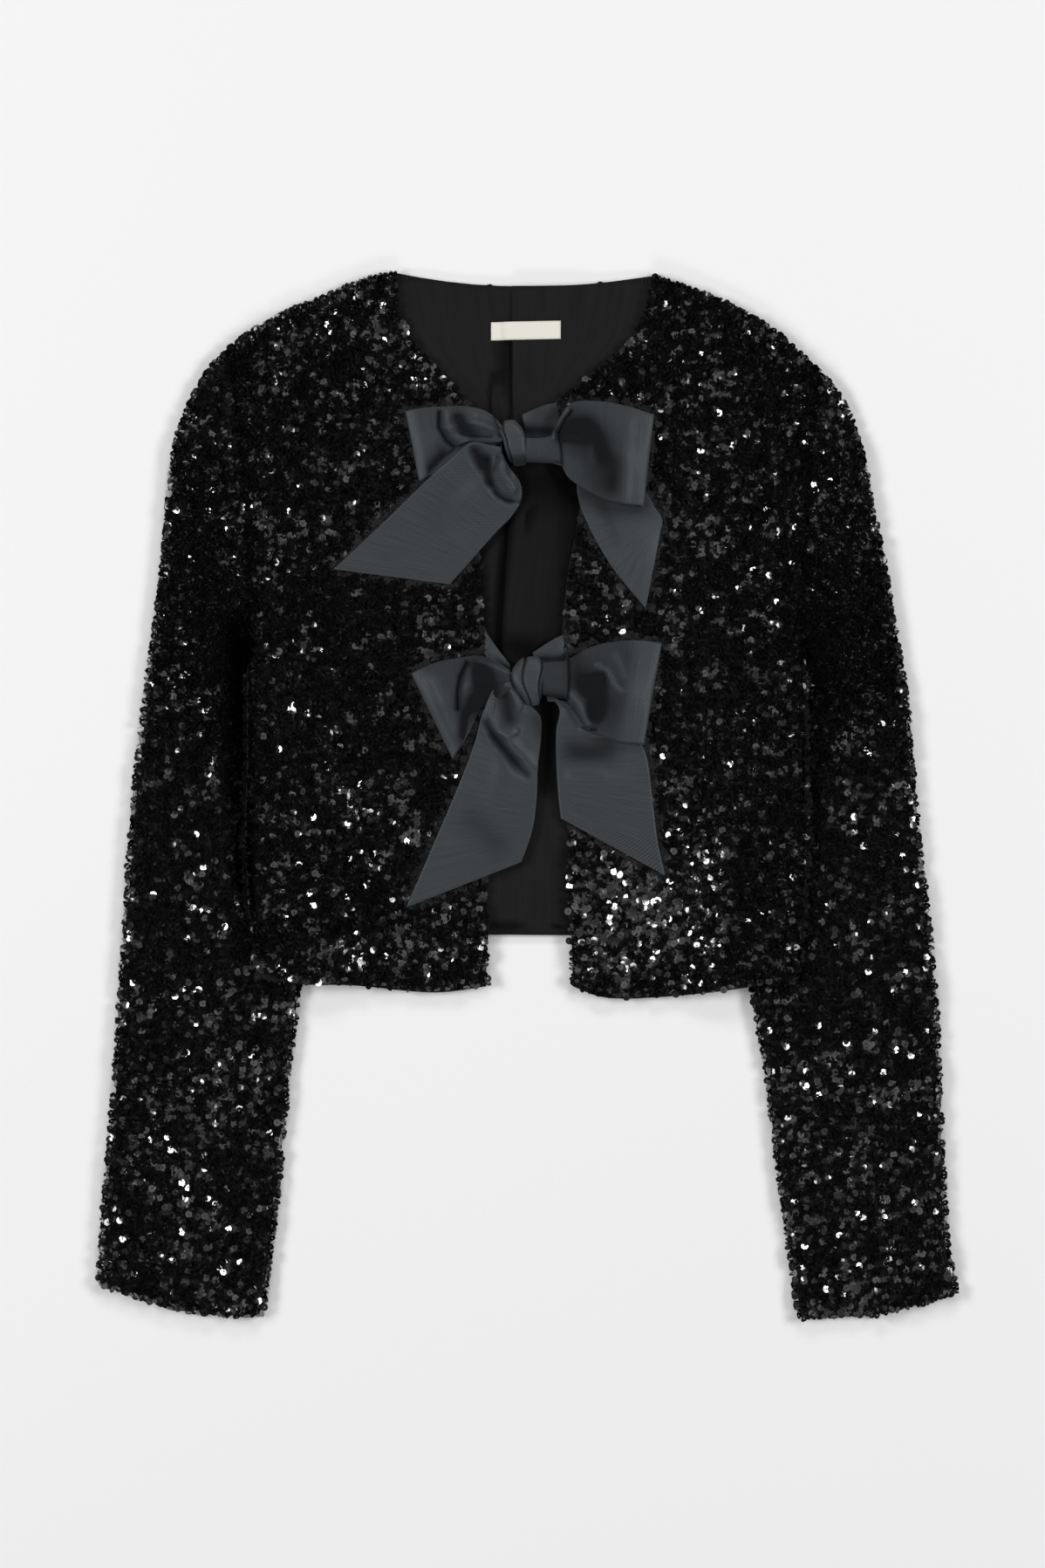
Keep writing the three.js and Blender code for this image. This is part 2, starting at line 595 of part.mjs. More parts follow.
function sleeve(name, half) {
  const plane = sleevePlane(half);
  const stations = 16;
  const middle = [];
  for (let i = 0; i <= stations; i += 1) {
    const s = i / stations;
    const hollow = SLEEVE_HOLLOW + 0.4 * s;
    const radius = (CLOTH + hollow) / 2;
    const width = plane(0, s).distanceTo(plane(1, s));
    middle.push(flatRing(width, radius, CLOTH / 2, ARMHOLE_SHARES, 4).map(([w, height]) => {
      const point = plane(w, s);
      point.z = CLOTH / 2 + radius + height;
      return point;
    }));
  }
  const after = (point) => {
    const onTop = smooth((point.z - CLOTH) / CLOTH);
    point.z += onTop * foldHeight(SLEEVE_FOLDS, point.x, point.y);
  };
  addPiece(name, wall(middle, CLOTH, { ring: true, after }), finishes.sequins);
}

// The end of the sleeve's lining, which shows at the cuff
function sleeveLining(name, half) {
  const plane = sleevePlane(half);
  const depth = 0.05; // share of the sleeve that it reaches back up
  const stations = 3;
  const radius = (SLEEVE_HOLLOW + 0.3 - 2 * SEAM_GAP - LINING) / 2;
  const middle = [];
  for (let i = 0; i <= stations; i += 1) {
    const s = 1 - depth * (1 - i / stations);
    const width = plane(0, s).distanceTo(plane(1, s));
    const rim = CLOTH + SEAM_GAP + LINING / 2;
    middle.push(flatRing(width, radius, rim, ARMHOLE_SHARES, 3).map(([w, height]) => {
      const point = plane(w, s);
      point.y -= i === stations ? LINING_PEEK : 0;
      point.z = CLOTH + (SLEEVE_HOLLOW + 0.4 * s) / 2 + height;
      return point;
    }));
  }
  addPiece(name, wall(middle, LINING, { ring: true }), finishes.lining);
}

// The bare woven label, which steps down off the pleat at its left end
function label() {
  const [columns, rows] = [8, 2];
  const height = LABEL.high - LABEL.low;
  const middle = [];
  for (let i = 0; i <= rows; i += 1) {
    middle.push([]);
    for (let j = 0; j <= columns; j += 1) {
      const x = mix(LABEL.left, LABEL.right, j / columns);
      const y = LABEL.low + height * i / rows + LABEL.tilt * (x - LABEL.left);
      const onPleat = smooth((x + 19) / 6);
      const z = BACK_LINING_MID + LINING / 2 + SEAM_GAP + LABEL.thick / 2 + PLEAT_RISE * onPleat;
      middle[i].push(new THREE.Vector3(x, y, z));
    }
  }
  addPiece('label', wall(middle, LABEL.thick), finishes.label);
}

// A ribbon through a table of sections
function ribbon(name, table, [along, across]) {
  const middle = [];
  for (let i = 0; i <= along; i += 1) {
    const [ax, ay, az, bx, by, bz, crown, gather] = follow(table, i / along);
    const from = new THREE.Vector3(ax, ay, az);
    const to = new THREE.Vector3(bx, by, bz);
    middle.push([]);
    for (let j = 0; j <= across; j += 1) {
      const v = j / across;
      const point = from.clone().lerp(to, v);
      point.z += crown * Math.sin(Math.PI * v) ** 2;
      point.z += gather * Math.sin(2 * Math.PI * GATHER_WAVES * v) * Math.sin(Math.PI * v);
      middle[i].push(point);
    }
  }
  addPiece(name, wall(middle, RIBBON), finishes.ribbon);
}

// The knot's wrapped ribbon, a rounded block with shallow folds running over it
function knot(name, { at, half, turn }) {
  const sphere = new THREE.SphereGeometry(1, 18, 12);
  sphere.deleteAttribute('normal');
  sphere.deleteAttribute('uv');
  const geometry = mergeVertices(sphere);
  const position = geometry.attributes.position;
  const square = (value) => Math.sign(value) * Math.abs(value) ** 0.7;
  for (let i = 0; i < position.count; i += 1) {
    const [x, y, z] = [square(position.getX(i)), square(position.getY(i)), square(position.getZ(i))];
    const crease = 1 + 0.05 * Math.cos(9 * x) * (1 - y * y);
    position.setXYZ(i, half[0] * x, half[1] * y, half[2] * z * crease);
  }
  geometry.rotateZ(turn);
  geometry.translate(...at);
  addPiece(name, facingOut(geometry), finishes.ribbon);
}

function bow(prefix, { knot: middle, ...ribbons }) {
  knot(`${prefix}_knot`, middle);
  for (const [name, table] of Object.entries(ribbons)) {
    ribbon(`${prefix}_${name}`, table, CELLS[name.split('_')[0]]);
  }
}

backPanel();
backLining();
for (const [side, half] of [['right', WEARER_RIGHT], ['left', WEARER_LEFT]]) {
  frontLining(`front_lining_${side}`, half);
  frontPanel(`front_${side}`, half);
  sleeve(`sleeve_${side}`, half);
  sleeveLining(`sleeve_lining_${side}`, half);
}
label();
bow('upper_bow', UPPER_BOW);
bow('lower_bow', LOWER_BOW);

export default blouse;
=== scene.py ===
"""The looks of a cropped, lined blouse of black sequinned cloth, laid flat on its back.

It is open down the front and tied with two ribbon bows. Its sizes are in millimetres, in
the part's own frame, and MM turns them into metres.
"""
import math

import bpy
import numpy as np
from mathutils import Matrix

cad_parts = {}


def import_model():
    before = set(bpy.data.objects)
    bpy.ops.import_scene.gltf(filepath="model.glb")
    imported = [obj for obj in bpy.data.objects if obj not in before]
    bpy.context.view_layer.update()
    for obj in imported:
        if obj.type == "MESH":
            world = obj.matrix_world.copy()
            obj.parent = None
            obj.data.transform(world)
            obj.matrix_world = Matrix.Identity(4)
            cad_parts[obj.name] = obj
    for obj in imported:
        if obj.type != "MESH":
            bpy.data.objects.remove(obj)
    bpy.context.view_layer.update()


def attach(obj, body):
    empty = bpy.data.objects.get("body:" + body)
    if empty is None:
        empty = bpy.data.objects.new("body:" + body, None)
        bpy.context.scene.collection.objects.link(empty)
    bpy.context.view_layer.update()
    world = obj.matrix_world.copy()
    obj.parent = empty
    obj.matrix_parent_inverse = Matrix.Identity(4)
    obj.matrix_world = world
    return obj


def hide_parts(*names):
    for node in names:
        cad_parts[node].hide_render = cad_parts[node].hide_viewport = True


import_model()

MM = 0.001

# Cloth sizes
CLOTH = 3.0  # sequinned cloth, from its backing to the sequin tips
BACKING = 0.7
LINING = 1.0
RIBBON = 0.9
SEAM_GAP = 0.3
LAYER_GAP = 0.35
LINING_PEEK = 2.0
FACING_PEEK = {-1: 0.8, 1: 2.6}  # past the front edge, on the wearer's right and left
FRONT_LINING_SHOWN = 0.5  # how thick the linings are made here, within their layers
LINING_SHOWN = 0.6
LABEL = {"left": -24, "right": 22, "low": 298, "high": 310, "tilt": 0.02, "thick": 0.7}
LABEL_STEP = {"left": -19, "width": 6}  # where it crosses the edge of the pleat
BACK_HEIGHT = 435
SLEEVE_LENGTH = 620
SLEEVE_LINING_ROW = 0.95  # share of the sleeve's length from which its lining is made
SLEEVE_LINING_STEP = 3.0

# Heights of the middle of each layer where the body lies flat
BACK_MID = CLOTH / 2
BACK_LINING_MID = CLOTH + LAYER_GAP + LINING / 2
FRONT_LINING_MID = BACK_LINING_MID + LINING + LAYER_GAP
FRONT_MID = FRONT_LINING_MID + LINING / 2 + LAYER_GAP + CLOTH / 2

# The front rolls down over the edge of the back with this mid-line radius
RIM_TILT = 0.4
ROLL = FRONT_MID - CLOTH - SEAM_GAP - RIM_TILT
ROLL_FROM_EDGE = ROLL + CLOTH / 2
HALF_SEAM = SEAM_GAP / 2
ROLL_START = 20

UNDERARM = 0.52
NECK_CORNER = 0.77
HEM_ROW = 0.09  # share of the height over which the back's hem parts from the front's
TOP_ROW = 0.91  # share above which a lining draws back from the shoulder seam

# Outlines seen from above, each from its first corner to its last. Columns: x, y
WEARER_RIGHT = {
    "hem": [(-27, -126), (-60, -130), (-118, -125), (-150, -124), (-177, -117)],
    "side": [(-177, -117), (-181, -105), (-186, -30), (-185, 16), (-185, 74), (-184, 97)],
    "armhole": [(-184, 97), (-183, 143), (-184, 189), (-188, 226), (-191, 255), (-197, 293)],
    "shoulder": [(-88, 343), (-103, 340), (-133, 328), (-161, 316), (-181, 305), (-197, 293)],
    "front_edge": [(-27, -126), (-28, -87), (-28, 5), (-29, 94), (-32, 154), (-33, 246)],
    "neck": [(-33, 246), (-43, 260), (-60, 278), (-77, 298), (-86, 321), (-88, 343)],
    "back_hem": [(0, -92), (-60, -93), (-118, -97), (-177, -117)],
    "back_neck": [(0, 334), (-26, 334.5), (-60, 338), (-88, 343)],
    "sleeve_outer": [(-197, 293), (-208, 282), (-221, 260), (-231, 235), (-237, 194),
                     (-241, 148), (-247, 108), (-256, 39), (-263, -30), (-271, -156),
                     (-280, -271), (-284, -322)],
    "sleeve_inner": [(-184, 97), (-187, 68), (-158, 28), (-142, -13), (-145, -76),
                     (-150, -128), (-157, -191), (-162, -248), (-173, -343)],
    "cuff": [(-173, -343), (-192, -343), (-227, -340), (-284, -322)],
    "sign": -1,
}
WEARER_LEFT = {
    "hem": [(30, -126), (49, -133), (89, -133), (147, -126), (176, -120)],
    "side": [(176, -120), (180, -105), (185, -30), (184, 16), (184, 74), (183, 97)],
    "armhole": [(183, 97), (182, 143), (184, 189), (187, 226), (190, 255), (192, 278)],
    "shoulder": [(84, 341), (96, 337), (122, 327), (145, 316), (164, 304), (192, 278)],
    "front_edge": [(30, -126), (29, -87), (28, -30), (25, 97), (29, 143), (37, 200), (20, 256)],
    "neck": [(20, 256), (35, 269), (55, 285), (72, 301), (80, 321), (84, 341)],
    "back_hem": [(0, -92), (55, -93), (112, -98), (176, -120)],
    "back_neck": [(0, 334), (26, 334.5), (55, 337), (84, 341)],
    "sleeve_outer": [(192, 278), (202, 268), (213, 247), (221, 223), (227, 191), (233, 166),
                     (241, 120), (251, 62), (257, -7), (270, -133), (278, -294), (284, -329)],
    "sleeve_inner": [(183, 97), (187, 68), (157, 28), (141, -13), (143, -76), (147, -128),
                     (156, -179), (163, -237), (178, -345)],
    "cuff": [(178, -345), (193, -344), (230, -342), (284, -329)],
    "sign": 1,
}
HALVES = {"right": WEARER_RIGHT, "left": WEARER_LEFT}

# The side of the body lies over the sleeve and is lifted by it.
# Columns: height on the body y, distance of the sleeve's inner edge from the middle
TUCKED_SLEEVE = [(-128, 143), (-76, 143), (-13, 140), (28, 156), (68, 186), (97, 186)]
# Sections of the sleeve. Columns: place s, share of the inner edge, share of the outer
SLEEVE_FAN = [(0, 0, 0), (0.36, 0.065, 0.32), (1, 1, 1)]
SLEEVE_HOLLOW = 3.0
SLEEVE_LIFT = 2 * CLOTH + SLEEVE_HOLLOW + 0.4 + 2 * SEAM_GAP
LIFT_RISE = 32
LIFT_FADE = 40
LIFT_MARGIN = 8

# Soft creases in the sequinned cloth. Columns: x and y of each end, half width, height.
# A ridge has a height above 0, a trough below 0.
FRONT_CREASES = [
    (-172, 215, -158, 60, 9, 1.2),
    (-120, 40, -112, -80, 12, 0.9),
    (165, 230, 150, 80, 10, 1.1),
    (126, 20, 136, -85, 12, 0.9),
    (-150, 205, -142, 90, 6, -0.7),
    (-96, 250, -118, 150, 10, 0.6),
    (108, 235, 122, 140, 9, 0.6),
    (141, 190, 132, 100, 6, -0.6),
    (-70, -30, -84, -110, 9, -0.5),
    (92, -40, 84, -118, 9, -0.5),
]
SLEEVE_CREASES = [
    (-205, 235, -214, 60, 8, 0.9),
    (-258, 60, -205, 20, 9, 0.8),
    (-262, -120, -200, -150, 10, 0.8),
    (-250, 20, -215, -6, 6, -0.7),
    (-262, -60, -214, -84, 7, -0.5),
    (-268, -190, -196, -226, 9, 0.6),
    (-272, -252, -214, -270, 6, -0.5),
    (206, 225, 213, 50, 8, 0.9),
    (250, 40, 205, 5, 9, 0.8),
    (262, -150, 200, -185, 10, 0.8),
    (248, 4, 210, -26, 6, -0.7),
    (258, -70, 204, -92, 7, -0.5),
    (268, -216, 200, -240, 9, 0.6),
    (272, -270, 216, -290, 6, -0.5),
]
# The same kinds of crease on the underside, where the cloth is pressed flat
UNDER_CREASES = [
    (-150, 190, -140, 20, 10, -0.3),
    (148, 200, 139, 40, 10, -0.3),
    (-60, 40, -72, -60, 12, -0.3),
    (66, 60, 58, -50, 12, -0.3),
]

# The pleat down the middle of the back lining folds over to the wearer's right.
# Columns: y, x of its folded edge, strength of the fold, height of the fold
PLEAT = [
    (-95, -14, 0, 0),
    (30, -16, 0, 0),
    (48, -17, 0, 1),
    (66, -17, 0.3, 1),
    (94, -17.5, 0.62, 1),
    (177, -13, 0.8, 1),
    (252, -11.2, 0.95, 1),
    (297, -10.6, 1, 1),
    (336, -10.6, 1, 1),
]
PLEAT_WIDTH = 14
PLEAT_SWING = 10
PLEAT_RISE = 2 * (LINING + SEAM_GAP)

# Ribbons, a row for each section from its first end to its last.
# Columns: x, y, z of one edge, x, y, z of the other, rise of the middle, depth of gathers
UPPER_BOW = {
    "knot": {"at": (-8.2, 230, 15.4), "half": (7, 15.4, 6), "turn": 0.12},
    "loop_right": [
        (-16.5, 238, 12, -16.5, 231, 12, 0, 0),
        (-34, 242, 11.4, -32, 222, 11.2, 0, 0.4),
        (-57, 246, 9.9, -50, 214, 9.9, 0, 0),
        (-74, 250, 9.9, -67, 207, 9.9, 0, 0),
        (-80, 251, 11.3, -71, 205, 11.3, 0, 0),
        (-76, 252, 12.9, -68, 207, 12.7, 0.8, 0),
        (-66, 253.5, 13.6, -60, 216, 13, 2.5, 0),
        (-53, 254, 14.5, -50, 226, 13.6, 5, 0.6),
        (-40, 254, 15.5, -38, 231, 14.4, 7, 0.8),
        (-26, 250, 16.5, -25, 230, 15.6, 5, 1),
        (-16.5, 241, 17.6, -16.5, 231, 17.4, 0.5, 0.6),
    ],
    "tail_right": [
        (-17.5, 227, 14.4, -13.5, 212.5, 12.5, 0, 0.5),
        (-26, 228.5, 16.4, -5.5, 205, 12.6, 1, 1),
        (-38, 229.5, 16.8, -4, 193, 11.2, 1.5, 1),
        (-52, 218, 14.8, -11, 181, 10.2, 1.2, 0.6),
        (-66, 206, 11.4, -20, 172, 9.9, 0.6, 0.2),
        (-97, 176, 9.9, -36, 154, 9.9, 0.4, 0),
        (-128, 147, 9.9, -51, 137, 9.9, 0, 0),
    ],
    "strap_right": [
        (-32, 245, 7, -30.8, 208, 7, 0, 0),
        (-24, 241, 8.4, -24, 219, 8.4, 0.4, 0.5),
        (-16.5, 236, 10.2, -16.5, 226, 10.2, 0, 0.4),
    ],
    "strap_left": [
        (19.2, 257, 7, 32.5, 212, 7, 0, 0),
        (10.5, 255, 8.6, 16, 217, 8.6, 0.6, 0.8),
        (-3.4, 249, 10.2, 0.6, 220, 11.2, 0, 0.6),
    ],
    "tail_left": [
        (0.4, 230, 12.8, 0.6, 222, 12.8, 0, 0.3),
        (18, 233, 11.6, 18, 219, 11.4, 0.3, 0.5),
        (32, 216, 10, 56, 219, 10, 0.2, 0.4),
        (33, 196, 9.9, 77, 199, 9.9, 0.3, 0),
        (40, 176, 9.9, 84, 188, 9.9, 0.8, 0),
        (56, 148, 9.9, 89, 180, 9.9, 0.5, 0),
        (78, 121, 9.9, 88, 173, 9.9, 0, 0),
    ],
    "loop_left": [
        (-1, 232, 14.3, -1, 221, 14.3, 0, 0),
        (19, 236, 13.4, 21, 219, 13.4, 0, 0.3),
        (49, 251, 11.9, 49, 199, 11.9, 0, 0),
        (74, 250, 11.6, 70, 191, 11.6, 0, 0),
        (83, 249, 13.4, 76, 188, 13.2, 0, 0),
        (79, 250, 15.4, 74, 189, 14.8, 1, 0),
        (66, 254, 17, 63, 190, 15.6, 3, 0.4),
        (49, 257, 18.6, 48, 194, 16.4, 6, 0.7),
        (29, 256, 17.6, 28, 206, 16.2, 3.5, 0.6),
        (18.5, 240, 18, 21.5, 217, 17.4, 1.5, 0),
        (14, 233.5, 18.6, 15, 216.5, 18, 1.2, 0),
        (-1, 233, 18.4, -1, 217, 18, 1, 0),
    ],
}
LOWER_BOW = {
    "knot": {"at": (0.4, 73, 16), "half": (10.4, 16.2, 6.6), "turn": 0.08},
    "loop_right": [
        (-11.4, 79, 12.6, -11.4, 70, 12.6, 0, 0),
        (-33, 85, 11.3, -28, 59, 11.3, 0, 0.3),
        (-56, 81, 9.9, -39, 38, 9.9, 0, 0),
        (-71, 78, 9.9, -46, 27, 9.9, 0, 0),
        (-76, 78, 11.3, -49, 22, 11.3, 0, 0),
        (-73, 80, 13, -47, 26, 12.8, 1, 0),
        (-59, 86, 14.4, -41, 37, 13.6, 3, 0.4),
        (-45, 88.5, 15.6, -38, 50, 14.4, 5, 0.7),
        (-33, 90, 16.6, -29, 56, 15, 5.5, 1),
        (-22, 87, 17.4, -20, 61, 15.8, 3, 1),
        (-11.4, 80, 18, -11.4, 68, 17, 0, 0.5),
    ],
    "tail_right": [
        (-9.5, 80, 15, 0, 55, 14, 0, 0.2),
        (-17, 74, 17, 6, 53, 13.4, 1, 0.5),
        (-24, 65, 17.2, 9, 48, 12.6, 2, 0.6),
        (-30, 50, 16, 9, 36, 12, 3, 0.6),
        (-35, 32, 13, 7, 18, 10.6, 3, 0.4),
        (-44, 8, 10.4, 6, -6, 9.9, 2, 0.2),
        (-61, -32, 9.9, 3, -26, 9.9, 1, 0),
        (-80, -76, 9.9, -4, -46, 9.9, 0, 0),
    ],
    "strap_right": [
        (-28.2, 107, 7, -28, 67, 7, 0, 0),
        (-19, 94, 8.6, -19, 66, 8.6, 0.6, 0.7),
        (-11.3, 84, 10.8, -11.3, 68, 10.8, 0, 0.5),
    ],
    "strap_left": [
        (24.2, 104, 7, 24.2, 60, 7, 0, 0),
        (16.5, 100.5, 8.2, 19, 61, 8.6, 0.6, 0.8),
        (3.4, 92, 8.4, 12.2, 66, 11, 0, 0.5),
    ],
    "tail_left": [
        (12.2, 66, 12.8, 13, 60, 12.8, 0, 0.3),
        (21, 55, 11, 38, 57, 10.8, 0.2, 0.4),
        (19, 40, 10, 66, 40, 9.9, 0.5, 0.3),
        (19, 20, 9.9, 78, 26, 9.9, 1.2, 0),
        (20, 2, 9.9, 83, -8, 10.1, 1.5, 0),
        (21, -9, 9.9, 86, -32, 10.3, 0.8, 0),
        (22, -17, 9.9, 91, -55, 10.3, 0, 0),
    ],
    "loop_left": [
        (12.2, 80, 14.3, 12.2, 71, 14.3, 0, 0),
        (27, 85, 13.2, 27, 60, 13.2, 0, 0.3),
        (46, 95, 12.3, 41, 43, 12.3, 0, 0),
        (80, 98, 11.6, 70, 33, 11.6, 0, 0),
        (88, 98, 13.4, 76, 31, 13.2, 0, 0),
        (84, 99, 15.2, 74, 32, 14.8, 1, 0),
        (66, 100, 17, 58, 34, 16, 3, 0.4),
        (46, 97, 18.6, 41, 41, 16.8, 6, 0.7),
        (33, 91, 17.6, 31, 53, 16.4, 3.5, 0.6),
        (26, 87, 18.2, 26, 62, 17.6, 1.5, 0),
        (22, 86, 19, 22, 62, 18.6, 1.2, 0),
        (10, 85, 19, 10, 64, 18.6, 1, 0),
    ],
}

# Painted shade: where each piece lies in the shade of its folds or of what is over it, its colour is darkened
# by this much.
# Columns: half width, how dark from 0 to 1, x and y of each point of the line
SHADES = {
    "back_lining": [
        (0.9, 0.8, [(-10.5, 299), (-10.5, 262), (-9.5, 245)]),
        (1.3, 0.7, [(-19.5, 299), (-22, 283), (-25, 262), (-24, 245)]),
        (3.8, 0.95, [(-12, 182), (-16, 150), (-18.5, 120), (-19.5, 85)]),
        (0.7, 0.6, [(-0.5, 185), (-0.5, 90)]),
        (13, 0.6, [(33, 215), (33, 150), (28, 95)]),
        (15, 0.6, [(0, 204), (24, 203)]),
        (7, 0.85, [(14, 56), (13, 5)]),
        (28, 0.22, [(6, 190), (6, 60)]),
        (6, 0.5, [(-32, 165), (-30, 100)]),
        (7, 0.3, [(24, -40), (26, -92)]),
        (0.8, 0.7, [(-28, -88.5), (30, -88.5)]),
        (8, 0.7, [(-8, 96), (8, 92)]),
    ],
    "upper_bow_loop_left": [
        (13, 0.55, [(31, 238), (46, 226), (52, 206)]),
        (5, 0.6, [(24, 235), (33, 235)]),
        (9, 0.3, [(28, 244), (42, 238)]),
        (3.5, 0.6, [(-1, 217), (19, 215)]),
    ],
    "upper_bow_loop_right": [
        (5, 0.5, [(-56, 223), (-70, 206)]),
        (4, 0.5, [(-45, 245), (-40, 240)]),
    ],
    "upper_bow_strap_left": [
        (4.6, 1.0, [(-2, 238), (15, 238)]),
        (7, 0.4, [(8, 250), (24, 252)]),
    ],
    "upper_bow_tail_left": [
        (8, 0.5, [(38, 194), (60, 186), (76, 188)]),
    ],
    "lower_bow_loop_right": [
        (7, 0.6, [(-29, 78), (-26, 66), (-30, 58)]),
        (4.5, 0.9, [(-37, 60), (-40, 50), (-42, 38)]),
        (9, 0.3, [(-32, 82), (-24, 68)]),
    ],
    "lower_bow_loop_left": [
        (9, 0.3, [(74, 84), (68, 54)]),
        (11, 0.4, [(42, 74), (47, 56)]),
        (6, 0.3, [(31, 88), (33, 74)]),
        (3.5, 0.6, [(11, 63), (23, 62)]),
    ],
    "lower_bow_tail_left": [
        (10, 0.5, [(30, 28), (52, 28)]),
        (5, 0.15, [(35, 25), (45, 24)]),
    ],
    "lower_bow_tail_right": [
        (6, 0.5, [(6, 48), (9, 40)]),
        (10, 0.35, [(-36, -18), (-20, -34)]),
    ],
    "lower_bow_strap_left": [
        (2.6, 0.9, [(6, 88), (23, 88)]),
    ],
}
# Painted shade over the upper layer of every loop of each bow, which darkens it against the tails
LOOP_SHADE = {"upper_bow": 0.24, "lower_bow": 0.44}  # of a loop's upper layer
GATHER_WAVES = 2.5
RIBBON_WIDTH = 56.0
RIBBON_FLOOR = 9.9  # the lowest middle of a ribbon that lies on a front
# Painted shade in the troughs of the folds grows with their depth
FOLD_DEPTH = 4.0  # a trough as deep as this is as dark as they get

# Finer folds of each ribbon: a trough has a height below 0, a ridge above. A trough's colour also gets
# painted shade, and a ridge takes some painted shade away.
# Columns: half width, height, x and y of each point of the fold's line
FOLDS = {
    "upper_bow_loop_right": [
        (1.9, -3.4, [(-58, 250), (-58, 240), (-53.5, 232), (-47, 226.5)]),
        (1.9, 1.3, [(-53.8, 250), (-52.5, 241), (-48, 234.5), (-41, 231)]),
        (4.2, -2.2, [(-46, 247), (-43, 240), (-36, 237)]),
        (1.2, -2.2, [(-43, 236), (-34, 234.6), (-24, 234)]),
        (5.5, 1.8, [(-33, 246), (-25, 240)]),
        (1.1, -1.8, [(-21.5, 246), (-18, 234)]),
        (3.4, -1.6, [(-54, 222), (-63, 214), (-70, 207)]),
    ],
    "upper_bow_tail_right": [
        (3.4, 2.4, [(-36, 231.5), (-26, 230), (-19, 226)]),
        (4.4, -4.2, [(-34.5, 225), (-30, 216)]),
        (3.6, -4.4, [(-27, 219), (-25.5, 206)]),
        (2.2, -3.4, [(-24, 203), (-18, 195), (-11, 192)]),
        (1.1, -3.0, [(-21, 197), (-14, 192), (-4, 191.3)]),
        (1.3, -2.4, [(-19.5, 221), (-21.5, 212)]),
        (4.2, 4.0, [(-16, 217), (-15, 208), (-10, 200)]),
        (9.0, -0.6, [(-52, 200), (-60, 176)]),
    ],
    "upper_bow_loop_left": [
        (1.1, -2.0, [(19, 238), (22, 228), (23, 216)]),
        (1.4, 2.2, [(17, 233), (20.5, 242), (26, 251)]),
        (1.1, -2.6, [(19.5, 236), (24, 245), (29, 251)]),
        (4.4, -4.2, [(23, 236), (31, 236)]),
        (6.5, -1.6, [(40, 242), (46, 232), (50, 222)]),
        (2.2, 1.0, [(42, 228), (43, 217)]),
        (4.6, 1.5, [(70, 244), (69, 222), (67, 195)]),
        (5.0, -1.0, [(58, 216), (56, 200)]),
    ],
    "upper_bow_tail_left": [
        (5.0, -0.9, [(50, 186), (58, 168)]),
    ],
    "lower_bow_loop_right": [
        (1.7, -3.6, [(-40, 85), (-44, 76), (-46, 65), (-46, 55)]),
        (2.4, 1.2, [(-38.5, 80), (-40, 68), (-39.5, 57)]),
        (5.0, -2.6, [(-31, 80), (-29, 64)]),
        (2.0, 1.6, [(-31, 86), (-22, 83), (-14, 79)]),
        (6.0, 1.4, [(-62, 72), (-56, 55), (-48, 38)]),
    ],
    "lower_bow_tail_right": [
        (6.2, -3.6, [(-14, 62), (-12, 49)]),
        (1.7, 1.8, [(-23, 60), (-24.5, 50), (-20.5, 40.5), (-13, 37), (-7, 40.5)]),
        (3.0, -2.9, [(-27, 45), (-21, 35), (-13, 26), (-5, 16.5), (0, 12)]),
        (5.2, -1.5, [(-21, 37), (-14, 26), (-8, 20)]),
        (4.0, 1.4, [(-12, 33), (-3, 24), (3, 18)]),
        (2.6, 1.6, [(-13, 72), (-5, 57)]),
    ],
    "lower_bow_loop_left": [
        (1.1, -2.4, [(27, 88), (27.6, 75), (27, 62)]),
        (5.2, -5.0, [(40, 69), (46, 70), (46, 58), (44, 51)]),
        (1.6, -2.6, [(43, 76.5), (50, 78), (51, 70)]),
        (1.8, 2.2, [(46, 84), (54, 79), (57.5, 71), (62, 66)]),
        (2.2, 1.2, [(58, 90), (62, 82), (64, 76)]),
        (2.6, 2.6, [(29, 64), (33, 59), (37, 51), (40, 45.5)]),
        (1.1, -2.8, [(24, 60), (30, 54), (34, 46.5), (38, 41.8), (45, 41)]),
        (5.5, -1.3, [(71, 90), (72, 72)]),
    ],
    "lower_bow_tail_left": [
        (1.5, 1.6, [(36, 41), (44, 38.4), (52, 38), (58, 36)]),
        (8.0, -0.8, [(31, 27), (51, 27)]),
        (5.0, 1.0, [(30, 12), (48, 9)]),
    ],
}

# The wrapped knots: x of each groove as a share of the half width, the width of the foot as a
# share of the middle's, and how far the foot and the head lie to the left
KNOT_GROOVES = {"upper_bow": [-0.7], "lower_bow": [-0.35, 0.78]}
KNOT_FOOT = {"upper_bow": 0.85, "lower_bow": 0.5}
KNOT_SHIFT = {"upper_bow": (1.4, -2.2), "lower_bow": (2.6, 2.8)}
# How dark the painted shadow at the foot of each knot is; its grooves get painted shade too
KNOT_FOOT_SHADE = {"upper_bow": 0.8, "lower_bow": 0.1}
KNOT_GROOVE_WIDTH = 0.09
KNOT_GROOVE_DEPTH = 0.13

# Steps of the backing cloth's grid, across and down
BACKING_ROW = 5.0
BACKING_STEP = 7.0

# Sequins
SEQUIN_RADIUS = 2.5
SEQUIN_HOLE = 0.55
SEQUIN_CUP = 0.25  # how hollow it is
SEQUIN_LOWEST = -0.3  # just above the floor
SEQUIN_STRAY = 0.7  # spread of their places along and across the rows
SEQUIN_ROW = 3.4  # between the rows, which run down the garment
SEQUIN_STEP = 2.9  # along a row
UNDER_ROW = 4.1  # the same on the underside of the back
UNDER_STEP = 3.6
# The least and the most tilt, in degrees, of the sequins that lie in each way
TILTS = {"steep": (44, 66), "flat": (2, 15), "loose": (15, 31), "pressed": (3, 12)}
